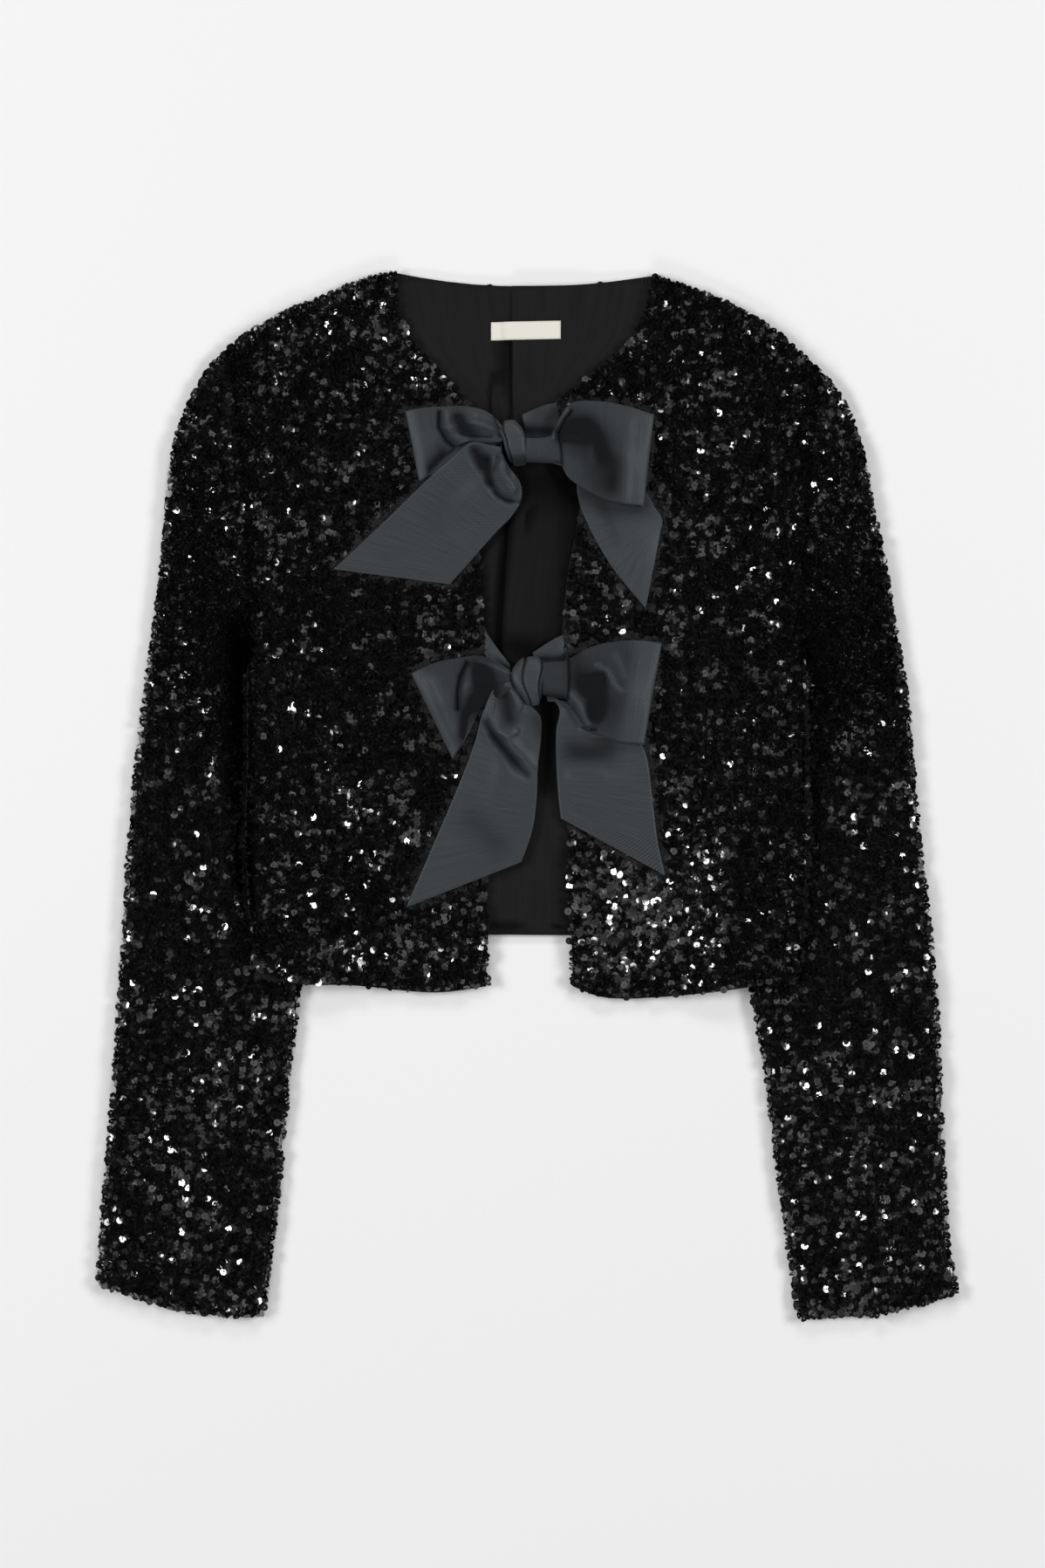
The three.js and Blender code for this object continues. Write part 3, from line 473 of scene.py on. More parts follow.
# The least and the most shade of the same, where 0 is the darkest. Within each the tone differs at random;
# that steep and pressed sequins are darker is painted shade, and that loose ones are lighter is painted
# glint.
TONES = {"steep": (0.07, 0.22), "flat": (0.3, 1), "loose": (0.7, 1), "pressed": (0.05, 0.2)}
# Weights of what decides whether one lies flat: a coarse field, a fine field and chance
FLAT_WEIGHTS = (0.22, 0.2, 0.58)
FLAT_LIMIT = 0.73
LOOSE_SHARE = 0.032
# How strongly SPARKLE and SEQUIN_SHADES change which sequins are flat, which are loose, and
# how dark they are; the darkening is painted shade
GAIN_OF_FLAT, GAIN_OF_LOOSE, DARKENING = 0.7, 0.6, 2.4
# Cloth is pressed where its shade is above the first and its normal's height below the second
PRESSED_SHADE, PRESSED_NORMAL = 0.2, 0.85
# Seeds of the panels' random numbers, and how much more the wearer's left has
FRONT_SEED, BACK_SEED, SLEEVE_SEED, SEED_STEP = 11, 41, 61, 10
# Where more or fewer sequins lie flat and catch the light. Columns: x, y of the middle,
# reach along x and along y, how many more (above 0) or fewer (below 0)
SPARKLE = [
    (-140, 306, 42, 32, 0.10),
    (-63, 283, 34, 36, 0.09),
    (-228, 190, 22, 90, 0.07),
    (70, -78, 46, 40, 0.42),
    (-218, -250, 55, 95, 0.06),
    (220, -235, 55, 100, 0.08),
    (-100, -108, 80, 20, 0.10),
    (-140, 0, 40, 60, 0.03),
    (-118, 170, 50, 50, 0.02),
    (165, 150, 70, 130, 0.01),
    (160, 275, 60, 45, 0.05),
    (-120, 90, 60, 80, -0.07),
]
# Where the cloth is pressed into a seam, and where the body's side shades the sleeve beside it, fewer sequins
# catch the light and their colour is darkened: partly a seam's own dark line, partly painted shadow.
# Columns: half width, how much, x and y of each point of the line
SEQUIN_SHADES = [
    (2, 0.25, [(-197, 293), (-188, 226), (-184, 189), (-183, 143), (-184, 97)]),
    (5, 0.4, [(-184, 97), (-185, 16), (-186, -30), (-181, -105)]),
    (2, 0.2, [(192, 278), (187, 226), (184, 189), (182, 143), (183, 97)]),
    (4, 0.3, [(183, 97), (184, 16), (185, -30), (180, -105)]),
    (8, 0.38, [(-193, 110), (-194, 20), (-190, -20), (-187, -60)]),
    (7, 0.1, [(194, 118), (195, -10)]),
]


def mix(a, b, t):
    return a + (b - a) * t


def smooth(t):
    t = np.clip(t, 0, 1)
    return t * t * (3 - 2 * t)


def unit(vectors):
    return vectors / np.maximum(np.linalg.norm(vectors, axis=-1, keepdims=True), 1e-9)


def hermite(f, here, after, leave, arrive):
    """A cubic from here (f = 0) to after (f = 1), with its slopes at both ends."""
    return ((2 * f**3 - 3 * f**2 + 1) * here + (f**3 - 2 * f**2 + f) * leave
            + (3 * f**2 - 2 * f**3) * after + (f**3 - f**2) * arrive)


def running_sum(lengths):
    return np.concatenate([[0], np.cumsum(lengths)])


def distance(a, b):
    return np.linalg.norm(a - b, axis=-1)


def curve(table, steps=24):
    """A fine line through a table of points, and the share of its length at each of its points."""
    points = np.array(table, float)
    ends = np.vstack([2 * points[0] - points[1], points, 2 * points[-1] - points[-2]])
    f = np.linspace(0, 1, steps, endpoint=False)[:, None]
    line = []
    for a, b, c, d in zip(ends[:-3], ends[1:-2], ends[2:-1], ends[3:]):
        da, db, dc = (math.sqrt(np.linalg.norm(q)) for q in (b - a, c - b, d - c))
        leave = ((b - a) / da - (c - a) / (da + db) + (c - b) / db) * db
        arrive = ((c - b) / db - (d - b) / (db + dc) + (d - c) / dc) * db
        line.append(hermite(f, b, c, leave, arrive))
    line = np.vstack([*line, points[-1:]])
    length = running_sum(distance(line[1:], line[:-1]))
    return line, length / length[-1]


def edge(*stretches):
    """A line through tables of points, each with the share of 0 to 1 at which it ends."""
    lines, shares, start = [], [], 0.0
    for table, end in stretches:
        line, share = curve(table)
        lines.append(line)
        shares.append(start + (end - start) * share)
        start = end
    line, share = np.vstack(lines), np.concatenate(shares)
    return lambda at: np.stack([np.interp(at, share, line[:, k]) for k in (0, 1)], -1)


def whole_edge(table):
    return edge((table, 1))


def patch(bottom, top, left, right):
    """A smooth patch filling four edges. u runs along bottom and top, v along left and right."""
    def at(u, v):
        u, v = np.broadcast_arrays(u, v)
        uu, vv = u[..., None], v[..., None]
        low = mix(bottom(0.0), bottom(1.0), uu)
        high = mix(top(0.0), top(1.0), uu)
        return mix(bottom(u), top(u), vv) + mix(left(v), right(v), uu) - mix(low, high, vv)
    return at


def look_up(table, key):
    """The columns of a table at values of its first one."""
    return [np.interp(key, np.array(table, float)[:, 0], column) for column in np.array(table, float).T]


def follow(table, t):
    """A table's columns followed smoothly from its first row (t = 0) to its last (t = 1)."""
    rows = np.array(table, float)
    last = len(rows) - 1
    place = np.asarray(t, float) * last
    i = np.minimum(place.astype(int), last - 1)
    f = (place - i)[..., None]
    before, here, after, beyond = (rows[np.clip(i + k, 0, last)] for k in (-1, 0, 1, 2))
    leave, arrive = (after - before) / 2, (beyond - here) / 2
    return hermite(f, here, after, leave, arrive)


def raised(flat, height):
    """Points in the plane, with their heights."""
    return np.concatenate([flat, np.broadcast_to(height, flat.shape[:-1])[..., None]], -1)


# Forms of the cloth


def lift(x, y):
    """How far the body is lifted by the sleeve tucked under its side."""
    rise = smooth((TUCKED_SLEEVE[-1][0] - y) / LIFT_RISE)
    full = look_up(TUCKED_SLEEVE, y)[1] - LIFT_MARGIN
    return SLEEVE_LIFT * rise * smooth((np.abs(x) - full + LIFT_FADE) / LIFT_FADE)


def crease_height(creases, x, y):
    """How far straight creases, which fade at both ends, raise points of the plane."""
    height = np.zeros_like(x)
    for x0, y0, x1, y1, half_width, rise in creases:
        dx, dy = x1 - x0, y1 - y0
        t = ((x - x0) * dx + (y - y0) * dy) / (dx * dx + dy * dy)
        away = np.abs((x - x0) * dy - (y - y0) * dx) / math.hypot(dx, dy) / half_width
        height += rise * smooth(4 * t) * smooth(4 * (1 - t)) * np.exp(-away * away)
    return height


def body_plane(half):
    """The plane that the layers of half the body share. v runs from the hem up. u runs from
    the front edge (0) to the side (1), and on past the front edge to the middle (-1)."""
    front = edge((half["front_edge"], NECK_CORNER), (half["neck"], 1))
    side = edge((half["side"], UNDERARM), (half["armhole"], 1))
    centre = whole_edge([half["back_hem"][0], half["back_neck"][0]])
    under = patch(whole_edge(half["hem"]), whole_edge(half["shoulder"]), front, side)
    neck = whole_edge(half["back_neck"])

    def at(u, v):
        u, v = np.broadcast_arrays(np.asarray(u, float), np.asarray(v, float))
        back = np.clip(1 + u, 0, 1)
        arch = (neck(back) - mix(neck(0.0), neck(1.0), back[..., None])) * smooth(5 * v - 4)[..., None]
        middle = mix(front(v), centre(v), np.clip(-u, 0, 1)[..., None]) + arch
        return np.where((u >= 0)[..., None], under(np.clip(u, 0, 1), v), middle)
    return at


def rolled_inset(q):
    """How far inside the seam a point of the roll lies, from its start (q = 0) to its end (1)."""
    return CLOTH / 2 + ROLL * (1 - np.sin(q * np.pi / 2))


def rolled_drop(q):
    """How far below the flat cloth it lies."""
    return ROLL * (1 - np.cos(q * np.pi / 2))


def in_order(half, grid):
    """Every layer of the body runs its columns from the wearer's right to the left."""
    return grid[:, ::-1] if half["sign"] < 0 else grid


def front_surface(half, step_x, step_y):
    """The middle of a front panel's wall, with the roll over its side and its shoulder."""
    plane = body_plane(half)
    height = float(distance(plane(0.5, 0.0), plane(0.5, 1.0)))
    broad = float(distance(plane(0.0, 0.3), plane(1.0, 0.3)))
    rows, columns = round(height / step_y), round(broad / step_x)
    turns = max(3, round(ROLL * np.pi / 2 / step_x))
    flat_top = 1 - ROLL_FROM_EDGE / height
    q = np.linspace(0, 1, turns + 1)[1:]
    v = np.concatenate([np.linspace(0, flat_top, rows), 1 - rolled_inset(q) / height])[:, None]
    row_drop = np.concatenate([np.zeros(rows), rolled_drop(q)])[:, None]
    width = distance(plane(0.0, v), plane(1.0, v))
    rolled = smooth((plane(1.0, UNDERARM)[1] - plane(1.0, v)[..., 1]) / ROLL_START)
    reach = 1 - ROLL_FROM_EDGE / width
    flat = reach * np.linspace(0, 1, columns)[None, :]
    inset = mix(mix(ROLL_FROM_EDGE, HALF_SEAM, q)[None, :], rolled_inset(q)[None, :], rolled)
    u = np.concatenate([flat, 1 - inset / width], 1)
    down = np.concatenate([np.zeros_like(flat), rolled * rolled_drop(q)[None, :]], 1)
    grid = raised(plane(u, v), FRONT_MID - row_drop - down)
    x, y, z = np.moveaxis(grid, -1, 0)
    on_top = smooth((z - CLOTH) / (FRONT_MID - CLOTH))
    grid[..., 2] += lift(x, y) + on_top * crease_height(FRONT_CREASES, x, y)
    return in_order(half, grid)


def back_hem_point(half, u):
    hem = whole_edge(half["back_hem"])
    reach = abs(half["front_edge"][0][0]) / abs(half["side"][0][0])
    return hem(np.where(u < 0, (1 + u) * reach, mix(reach, 1, u)))


def hemmed(half, u, v, peek=0.0, row=None):
    """A point of a back layer, whose hem is shorter than the front's."""
    plane = body_plane(half)
    u, v = np.broadcast_arrays(u, v)
    up = np.clip(v / HEM_ROW, 0, 1)[..., None]
    low = back_hem_point(half, u) - np.array([0, peek])
    return mix(low, plane(u, np.maximum(v if row is None else row, HEM_ROW)), up)


def back_surface(step_x, step_y):
    """The middle of the back's wall, from side seam to side seam."""
    sides = []
    for half in (WEARER_RIGHT, WEARER_LEFT):
        reach = abs(half["front_edge"][0][0])
        inner = np.linspace(-1, 0, max(3, round(reach / step_x)), endpoint=False)
        outer = np.linspace(0, 1, round(abs(half["side"][0][0]) / step_x))
        u = np.concatenate([inner, outer])[None, :]
        v = np.linspace(0, 1, round(BACK_HEIGHT / step_y))[:, None]
        flat = hemmed(half, u, v)
        flat[..., 0] -= half["sign"] * HALF_SEAM * smooth((u - 0.9) / 0.1)
        sides.append(in_order(half, raised(flat, BACK_MID)))
    grid = np.concatenate([sides[0], sides[1][:, 1:]], 1)
    x, y, _ = np.moveaxis(grid, -1, 0)
    grid[..., 2] += lift(x, y) + smooth((y + 90) / 20) * crease_height(UNDER_CREASES, x, y)
    return grid


def lining_row(plane, v, u):
    """The rows of a lining, drawn back from the shoulder seam."""
    height = float(distance(plane(0.5, 0.0), plane(0.5, 1.0)))
    near_top = np.clip((v - TOP_ROW) / (1 - TOP_ROW), 0, 1)
    return v - ROLL_FROM_EDGE / height * smooth(1 + 4 * u) * near_top


def flat_columns(plane, v, columns):
    """The columns of a lining, which stops where the front starts to roll."""
    reach = 1 - ROLL_FROM_EDGE / distance(plane(0.0, v), plane(1.0, v))
    return reach * np.linspace(0, 1, columns)[None, :]


def front_lining_surface(half):
    plane = body_plane(half)
    v = np.linspace(0, 1, 90)[:, None]
    u = flat_columns(plane, v, 32)
    flat = plane(u, lining_row(plane, v, u))
    flat[..., 1] -= LINING_PEEK * np.clip(1 - v / HEM_ROW, 0, 1)
    flat[..., 0] -= half["sign"] * FACING_PEEK[half["sign"]] * smooth(1 - 12 * u) * smooth(8 * v - 1)
    grid = raised(flat, FRONT_LINING_MID)
    grid[..., 2] += lift(grid[..., 0], grid[..., 1])
    return in_order(half, grid)


def back_lining_surface():
    """The back lining, with its pleat folded over to the wearer's right."""
    v = np.linspace(0, 1, 80)[:, None]
    height = body_plane(WEARER_RIGHT)(-1.0, v)[..., 1]
    _, folded_edge, strength, rise = look_up(PLEAT, height)
    start = folded_edge - 0.7 * PLEAT_WIDTH + PLEAT_SWING * strength

    def half_grid(half, x_shift, raise_by):
        plane = body_plane(half)
        beside = np.broadcast_to(np.linspace(-0.75, 0, 16, endpoint=False), (len(v), 16))
        u = np.concatenate([beside, flat_columns(plane, v, 28)], 1)
        flat = hemmed(half, u, v, LINING_PEEK, lining_row(plane, v, u))
        flat[..., 0] += x_shift * np.maximum(0, -u)
        return in_order(half, raised(flat, BACK_LINING_MID + raise_by * smooth((-u - 0.4) / 0.35)))

    s = np.linspace(0, 1, 49)[None, :]
    along = PLEAT_WIDTH * s + PLEAT_SWING * strength * np.sin(2 * np.pi * s)
    turned = (smooth((s - 0.19) / 0.12) + smooth((s - 0.69) / 0.12)) / 2
    flat = hemmed(WEARER_RIGHT, np.full_like(along, -1.0), v, LINING_PEEK)
    flat[..., 0] = start + along
    pleat = raised(flat, BACK_LINING_MID + PLEAT_RISE * rise * turned)
    grid = np.concatenate([
        half_grid(WEARER_RIGHT, start, 0.0),
        pleat,
        half_grid(WEARER_LEFT, start + PLEAT_WIDTH, PLEAT_RISE * rise),
    ], 1)
    grid[..., 2] += lift(grid[..., 0], grid[..., 1])
    return grid


def flat_ring(width, radius, rim, step):
    """Rings of a flattened tube between its inner and outer edge. Gives the share of the way
    across and the height of each point, for each width. The step is that between points."""
    reach = (radius + rim) / width
    cells = round(float(np.mean(width - 2 * (radius + rim))) / step)
    turns = max(3, round(math.pi * float(np.mean(radius)) / step))
    share = mix(reach, 1 - reach, np.linspace(0, 1, cells)[None, :])
    turn = np.pi * np.arange(1, turns)[None, :] / turns
    round_it, up = radius * np.sin(turn) / width, radius * np.cos(turn)
    level = np.broadcast_to(radius, share.shape)
    shares = np.concatenate([share, 1 - reach + round_it, share[:, ::-1], reach - round_it], 1)
    heights = np.concatenate([-level, -up, level, up], 1)
    return shares, heights


def sleeve_plane(half):
    """The plane of a sleeve: w from the inner to the outer edge, s from the armhole to the
    cuff. The first sections fan out round the underarm."""
    inner, outer = whole_edge(half["sleeve_inner"]), whole_edge(half["sleeve_outer"])
    armhole, cuff = whole_edge(half["armhole"]), whole_edge(half["cuff"])

    def straight(w, s):
        _, inner_share, outer_share = look_up(SLEEVE_FAN, s)
        return mix(inner(inner_share), outer(outer_share), w[..., None])

    def at(w, s):
        w, s = np.broadcast_arrays(np.asarray(w, float), np.asarray(s, float))
        near_top = (np.maximum(0, 1 - 6 * s) ** 2)[..., None]
        near_cuff = (np.maximum(0, 8 * s - 7) ** 2)[..., None]
        point = (straight(w, s) + (armhole(w) - straight(w, 0 * s)) * near_top
                 + (cuff(w) - straight(w, 0 * s + 1)) * near_cuff)
        room = SEAM_GAP + 1.6 * (1 - w) ** 8 + 0.5 * w**8
        point[..., 0] += half["sign"] * room * near_top[..., 0]
        return point
    return at


def sleeve_surface(half, step_x, step_y):
    plane = sleeve_plane(half)
    s = np.linspace(0, 1, round(SLEEVE_LENGTH / step_y))[:, None]
    radius = (CLOTH + SLEEVE_HOLLOW + 0.4 * s) / 2
    width = distance(plane(0.0, s), plane(1.0, s))
    share, height = flat_ring(width, radius, CLOTH / 2, step_x)
    grid = raised(plane(share, s), CLOTH / 2 + radius + height)
    x, y, z = np.moveaxis(grid, -1, 0)
    grid[..., 2] += smooth((z - CLOTH) / CLOTH) * crease_height(SLEEVE_CREASES, x, y)
    return grid


def sleeve_lining_surface(half):
    plane = sleeve_plane(half)
    s = np.linspace(SLEEVE_LINING_ROW, 1, 12)[:, None]
    radius = (SLEEVE_HOLLOW + 0.3 - 2 * SEAM_GAP - LINING) / 2 + 0 * s
    width = distance(plane(0.0, s), plane(1.0, s))
    rim = CLOTH + SEAM_GAP + LINING / 2
    share, height = flat_ring(width, radius, rim, SLEEVE_LINING_STEP)
    flat = plane(share, s)
    flat[..., 1] -= LINING_PEEK * smooth((s - 0.98) / 0.02)
    return raised(flat, CLOTH + (SLEEVE_HOLLOW + 0.4 * s) / 2 + height)


def line_distance(x, y, line):
    """How far points of the plane lie from a line through several points."""
    nearest = np.full(x.shape, np.inf)
    for (x0, y0), (x1, y1) in zip(line[:-1], line[1:]):
        dx, dy = x1 - x0, y1 - y0
        t = np.clip(((x - x0) * dx + (y - y0) * dy) / (dx * dx + dy * dy), 0, 1)
        nearest = np.minimum(nearest, np.hypot(x - x0 - t * dx, y - y0 - t * dy))
    return nearest


def nearness(x, y, line, half_width):
    """1 for points on the line, fading to 0 with their distance from it."""
    return np.exp(-(line_distance(x, y, line) / half_width) ** 2)


def shade_at(rows, x, y):
    shade = np.zeros(x.shape)
    for half_width, dark, line in rows:
        shade += dark * nearness(x, y, line, half_width)
    return shade


def ribbon_surface(name, table, along, across):
    """A ribbon's middle, and how much painted shade each point of it has, from 0 to 1: from its SHADES and
    folds and, on a loop, LOOP_SHADE.
    """
    t = np.linspace(0, 1, along)[:, None]
    v = np.linspace(0, 1, across)[None, :]
    rows = follow(table, t)
    grid = mix(rows[..., 0:3], rows[..., 3:6], v[..., None])
    crown, gather = rows[..., 6], rows[..., 7]
    sine = np.sin(np.pi * v)
    x, y, z = np.moveaxis(grid, -1, 0)
    z = z + (crown * sine**2 + gather * np.sin(2 * np.pi * GATHER_WAVES * v) * sine)
    upper_layer = smooth((t - 0.5) / 0.06) if "loop" in name else 1.0
    lowest = np.minimum(z, RIBBON_FLOOR)
    # Painted shade: SHADES and LOOP_SHADE darken the colour, troughs add to it and ridges take from it
    painted_loop_shade = LOOP_SHADE[name[:9]] if "loop" in name else 0.0
    depth = upper_layer * (shade_at(SHADES.get(name, []), x, y) + painted_loop_shade)
    for half_width, height, line in FOLDS.get(name, []):
        fold = upper_layer * nearness(x, y, line, half_width)
        z += height * fold
        depth += -height / FOLD_DEPTH * fold
    grid[..., 2] = np.maximum(z, lowest)
    return grid, np.clip(depth, 0, 1)


# Meshes


def add_object(name, data):
    made = bpy.data.objects.new(name, data)
    bpy.context.scene.collection.objects.link(made)
    return made


def add_mesh(name, points, faces, material, uv=None, values=None):
    """A smooth-shaded mesh from points in millimetres and faces that all have as many corners."""
    mesh = bpy.data.meshes.new(name)
    mesh.vertices.add(len(points))
    mesh.vertices.foreach_set("co", (points * MM).astype(np.float32).ravel())
    corners = np.ascontiguousarray(faces, np.int32).ravel()
    mesh.loops.add(len(corners))
    mesh.loops.foreach_set("vertex_index", corners)
    mesh.polygons.add(len(faces))
    mesh.polygons.foreach_set("loop_start", np.arange(0, len(corners), faces.shape[1], dtype=np.int32))
    mesh.update(calc_edges=True)
    mesh.validate()
    mesh.shade_smooth()
    if uv is not None:
        layer = mesh.uv_layers.new(name="cloth")
        layer.data.foreach_set("uv", uv[corners].astype(np.float32).ravel())
    for key, data in (values or {}).items():
        mesh.attributes.new(key, "FLOAT", "POINT").data.foreach_set("value", data.astype(np.float32))
    mesh.materials.append(material)
    piece = add_object(name, mesh)
    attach(piece, "root")
    return piece


def normals(grid, ring=False):
    across = np.roll(grid, -1, 1) - np.roll(grid, 1, 1) if ring else np.gradient(grid, axis=1)
    return unit(np.cross(across, np.gradient(grid, axis=0)))


def outward(grid, ring):
    """1 where a surface's own normals point away from the cloth's other side, -1 where not."""
    if not ring:
        return 1
    from_middle = grid - grid.mean(1, keepdims=True)
    return 1 if (normals(grid, True) * from_middle).sum() > 0 else -1


def wall(grid, thickness, offset=0.0, ring=False):
    """The points, faces and cloth coordinates of a closed wall on a grid of points. The offset
    moves it out along the surface's normals."""
    out = outward(grid, ring)
    rows, columns = grid.shape[:2]
    normal = normals(grid, ring) * out
    sides = [grid + normal * (offset + side * thickness / 2) for side in (1, -1)]
    number = np.arange(2 * rows * columns).reshape(2, rows, columns)
    if ring:
        number = np.concatenate([number, number[:, :, :1]], 2)
    top, low = number
    faces = [
        (top[:-1, :-1], top[:-1, 1:], top[1:, 1:], top[1:, :-1]),
        (low[:-1, :-1], low[1:, :-1], low[1:, 1:], low[:-1, 1:]),
        (top[0, :-1], low[0, :-1], low[0, 1:], top[0, 1:]),
        (top[-1, :-1], top[-1, 1:], low[-1, 1:], low[-1, :-1]),
    ]
    if not ring:
        faces.append((top[:-1, 0], top[1:, 0], low[1:, 0], low[:-1, 0]))
        faces.append((top[:-1, -1], low[:-1, -1], low[1:, -1], top[1:, -1]))
    quads = np.concatenate([np.stack([c.ravel() for c in corners], -1) for corners in faces])
    if out < 0:
        quads = quads[:, ::-1]
    across = running_sum(distance(grid[:, 1:], grid[:, :-1]).mean(0))
    along = running_sum(distance(grid[1:], grid[:-1]).mean(1))
    uv = np.stack(np.broadcast_arrays(across[None, :], along[:, None]), -1).reshape(-1, 2)
    return np.concatenate(sides).reshape(-1, 3), quads, np.concatenate([uv, uv])


def add_wall(name, grid, thickness, material, offset=0.0, ring=False, depth=None):
    points, faces, uv = wall(grid, thickness, offset, ring)
    # The depth attribute is painted shade, by which the lining and ribbon materials darken their colour
    values = None if depth is None else {"depth": np.tile(np.clip(depth, 0, 1).ravel(), 2)}
    return add_mesh(name, points, faces, material, uv * MM, values)


def field(x, y, cell, seed):
    """Smooth noise from 0 to 1 over the plane, with features about one cell wide."""
    values = np.random.default_rng(seed).random((160, 160))
    i, j = x / cell + 80, y / cell + 80
    i0, j0 = np.floor(i).astype(int), np.floor(j).astype(int)
    fi, fj = smooth(i - i0), smooth(j - j0)
    i0, j0 = np.clip(i0, 0, 158), np.clip(j0, 0, 158)
    return mix(mix(values[i0, j0], values[i0 + 1, j0], fi),
               mix(values[i0, j0 + 1], values[i0 + 1, j0 + 1], fi), fj)


def sequin_faces(hole_corners):
    """The triangles of one sequin, whose rim has two corners for each one of its hole."""
    faces = []
    rim = 2 * hole_corners
    for k in range(hole_corners):
        inner, outer = rim + k, 2 * k
        following = rim + (k + 1) % hole_corners
        faces.append((inner, (outer - 1) % rim, outer))
        faces.append((inner, outer, outer + 1))
        faces.append((inner, outer + 1, following))
    return np.array(faces)


def sequin_lie(random, x, y, upward, pressed, seed):
    """How each sequin lies: its tilt, its shade, and whether it is flat or loose. upward is the
    height of the cloth's normal. Shade 0 is the darkest; it is partly random tone and partly painted shade
    and glint, as TONES and SEQUIN_SHADES give it."""
    shape = x.shape
    coarse, fine, chance = FLAT_WEIGHTS
    flatness = (coarse * field(x, y, 16, seed + 1) + fine * field(x, y, 7, seed + 2)
                + chance * random.random(shape))
    gains = np.zeros(shape)
    for at_x, at_y, reach_x, reach_y, gain in SPARKLE:
        gains += gain * np.exp(-((x - at_x) / reach_x) ** 2 - ((y - at_y) / reach_y) ** 2)
    seam_and_painted_shadow = shade_at(SEQUIN_SHADES, x, y)
    gains -= seam_and_painted_shadow
    pressed = pressed | ((seam_and_painted_shadow > PRESSED_SHADE) & (upward < PRESSED_NORMAL))
    flat = flatness + GAIN_OF_FLAT * gains > FLAT_LIMIT
    loose = random.random(shape) < LOOSE_SHARE + GAIN_OF_LOOSE * gains
    tilt = random.uniform(*TILTS["steep"], shape)
    tilt = np.where(flat, random.uniform(*TILTS["flat"], shape), tilt)
    tilt = np.where(loose, random.uniform(*TILTS["loose"], shape), tilt)
    tilt = np.radians(np.where(pressed, random.uniform(*TILTS["pressed"], shape), tilt))
    shade = np.where(flat, random.uniform(*TONES["flat"], shape), random.uniform(*TONES["steep"], shape))
    shade = np.where(loose, random.uniform(*TONES["loose"], shape), shade)
    shade = np.where(pressed, random.uniform(*TONES["pressed"], shape), shade)
    # Painted shadow and seam lines: SEQUIN_SHADES darken the colour
    return tilt, shade * np.clip(1 - DARKENING * seam_and_painted_shadow, 0, 1), flat, loose


def sequins(grid, pressed, seed, ring=False, hole_corners=4):
    """The points, faces and shades of the sequins on a surface, one at each point of its grid.
    The pressed ones lie nearly flat."""
    random = np.random.default_rng(seed)
    normal = normals(grid, ring) * outward(grid, ring)
    down = unit(np.gradient(grid, axis=0))
    side = np.cross(down, normal)
    stagger = SEQUIN_STEP / 2 * (np.arange(grid.shape[1]) % 2)[None, :, None]
    shape = grid.shape[:2]
    base = (grid + normal * (BACKING - CLOTH / 2)
            + down * (stagger + random.normal(0, SEQUIN_STRAY, shape)[..., None])
            + side * random.normal(0, SEQUIN_STRAY, shape)[..., None])
    x, y, _ = np.moveaxis(base, -1, 0)
    tilt, shade, flat, loose = sequin_lie(random, x, y, normal[..., 2], pressed, seed)
    towards = np.where(random.random(shape) < 0.5, 0, np.pi) + random.normal(0, 1.1, shape)
    towards = np.where(flat | loose, random.uniform(0, 2 * np.pi, shape), towards)
    tilt, towards = tilt[..., None], towards[..., None]
    facing = normal * np.cos(tilt) + (side * np.cos(towards) + down * np.sin(towards)) * np.sin(tilt)
    rise = np.maximum(0.25, SEQUIN_RADIUS * np.sin(tilt) - 0.6)
    middle = base + normal * (rise + random.uniform(0, 0.5, shape)[..., None])
    along_cloth = np.abs((facing * down).sum(-1, keepdims=True)) > 0.9
    first = unit(np.cross(facing, np.where(along_cloth, side, down)))
    second = np.cross(facing, first)
    cup = random.uniform(0.3, 1.1, shape) * np.where(random.random(shape) < 0.7, 1, -1)
    cup = SEQUIN_CUP * np.where(loose, 0.35 * cup, cup)[..., None]
    start = random.uniform(0, np.pi / 2, shape)[..., None]

    corners = []
    for radius, count in ((SEQUIN_RADIUS, 2 * hole_corners), (SEQUIN_HOLE, hole_corners)):
        for k in range(count):
            turn = start + 2 * np.pi * k / count
            corners.append(middle + radius * (np.cos(turn) * first + np.sin(turn) * second)
                           + facing * cup * (radius / SEQUIN_RADIUS) ** 2)
    points = np.stack(corners, 2).reshape(-1, 3)
    points[:, 2] = np.maximum(points[:, 2], SEQUIN_LOWEST)
    each = len(corners)
    starts = each * np.arange(shape[0] * shape[1])
    faces = (sequin_faces(hole_corners)[None] + starts[:, None, None]).reshape(-1, 3)
    return points, faces, np.repeat(shade.ravel(), each)


# Materials


def nodes_of(name):
    material = bpy.data.materials.new(name)
    material.use_nodes = True
    tree = material.node_tree
    return material, tree, tree.nodes["Principled BSDF"]


def set_inputs(tree, node, inputs):
    """Gives a node's inputs their values, or links them where the value is another's output."""
    for key, value in inputs.items():
        if isinstance(value, bpy.types.NodeSocket):
            tree.links.new(value, node.inputs[key])
        else:
            node.inputs[key].default_value = value


def add_node(tree, kind, settings=None, inputs=None):
    node = tree.nodes.new(kind)
    for key, value in (settings or {}).items():
        setattr(node, key, value)
    set_inputs(tree, node, inputs or {})
    return node


def attribute(tree, name):
    return add_node(tree, "ShaderNodeAttribute", {"attribute_name": name}).outputs["Fac"]


def in_range(tree, value, low, high):
    inputs = {"Value": value, "To Min": low, "To Max": high}
    return add_node(tree, "ShaderNodeMapRange", inputs=inputs).outputs["Result"]


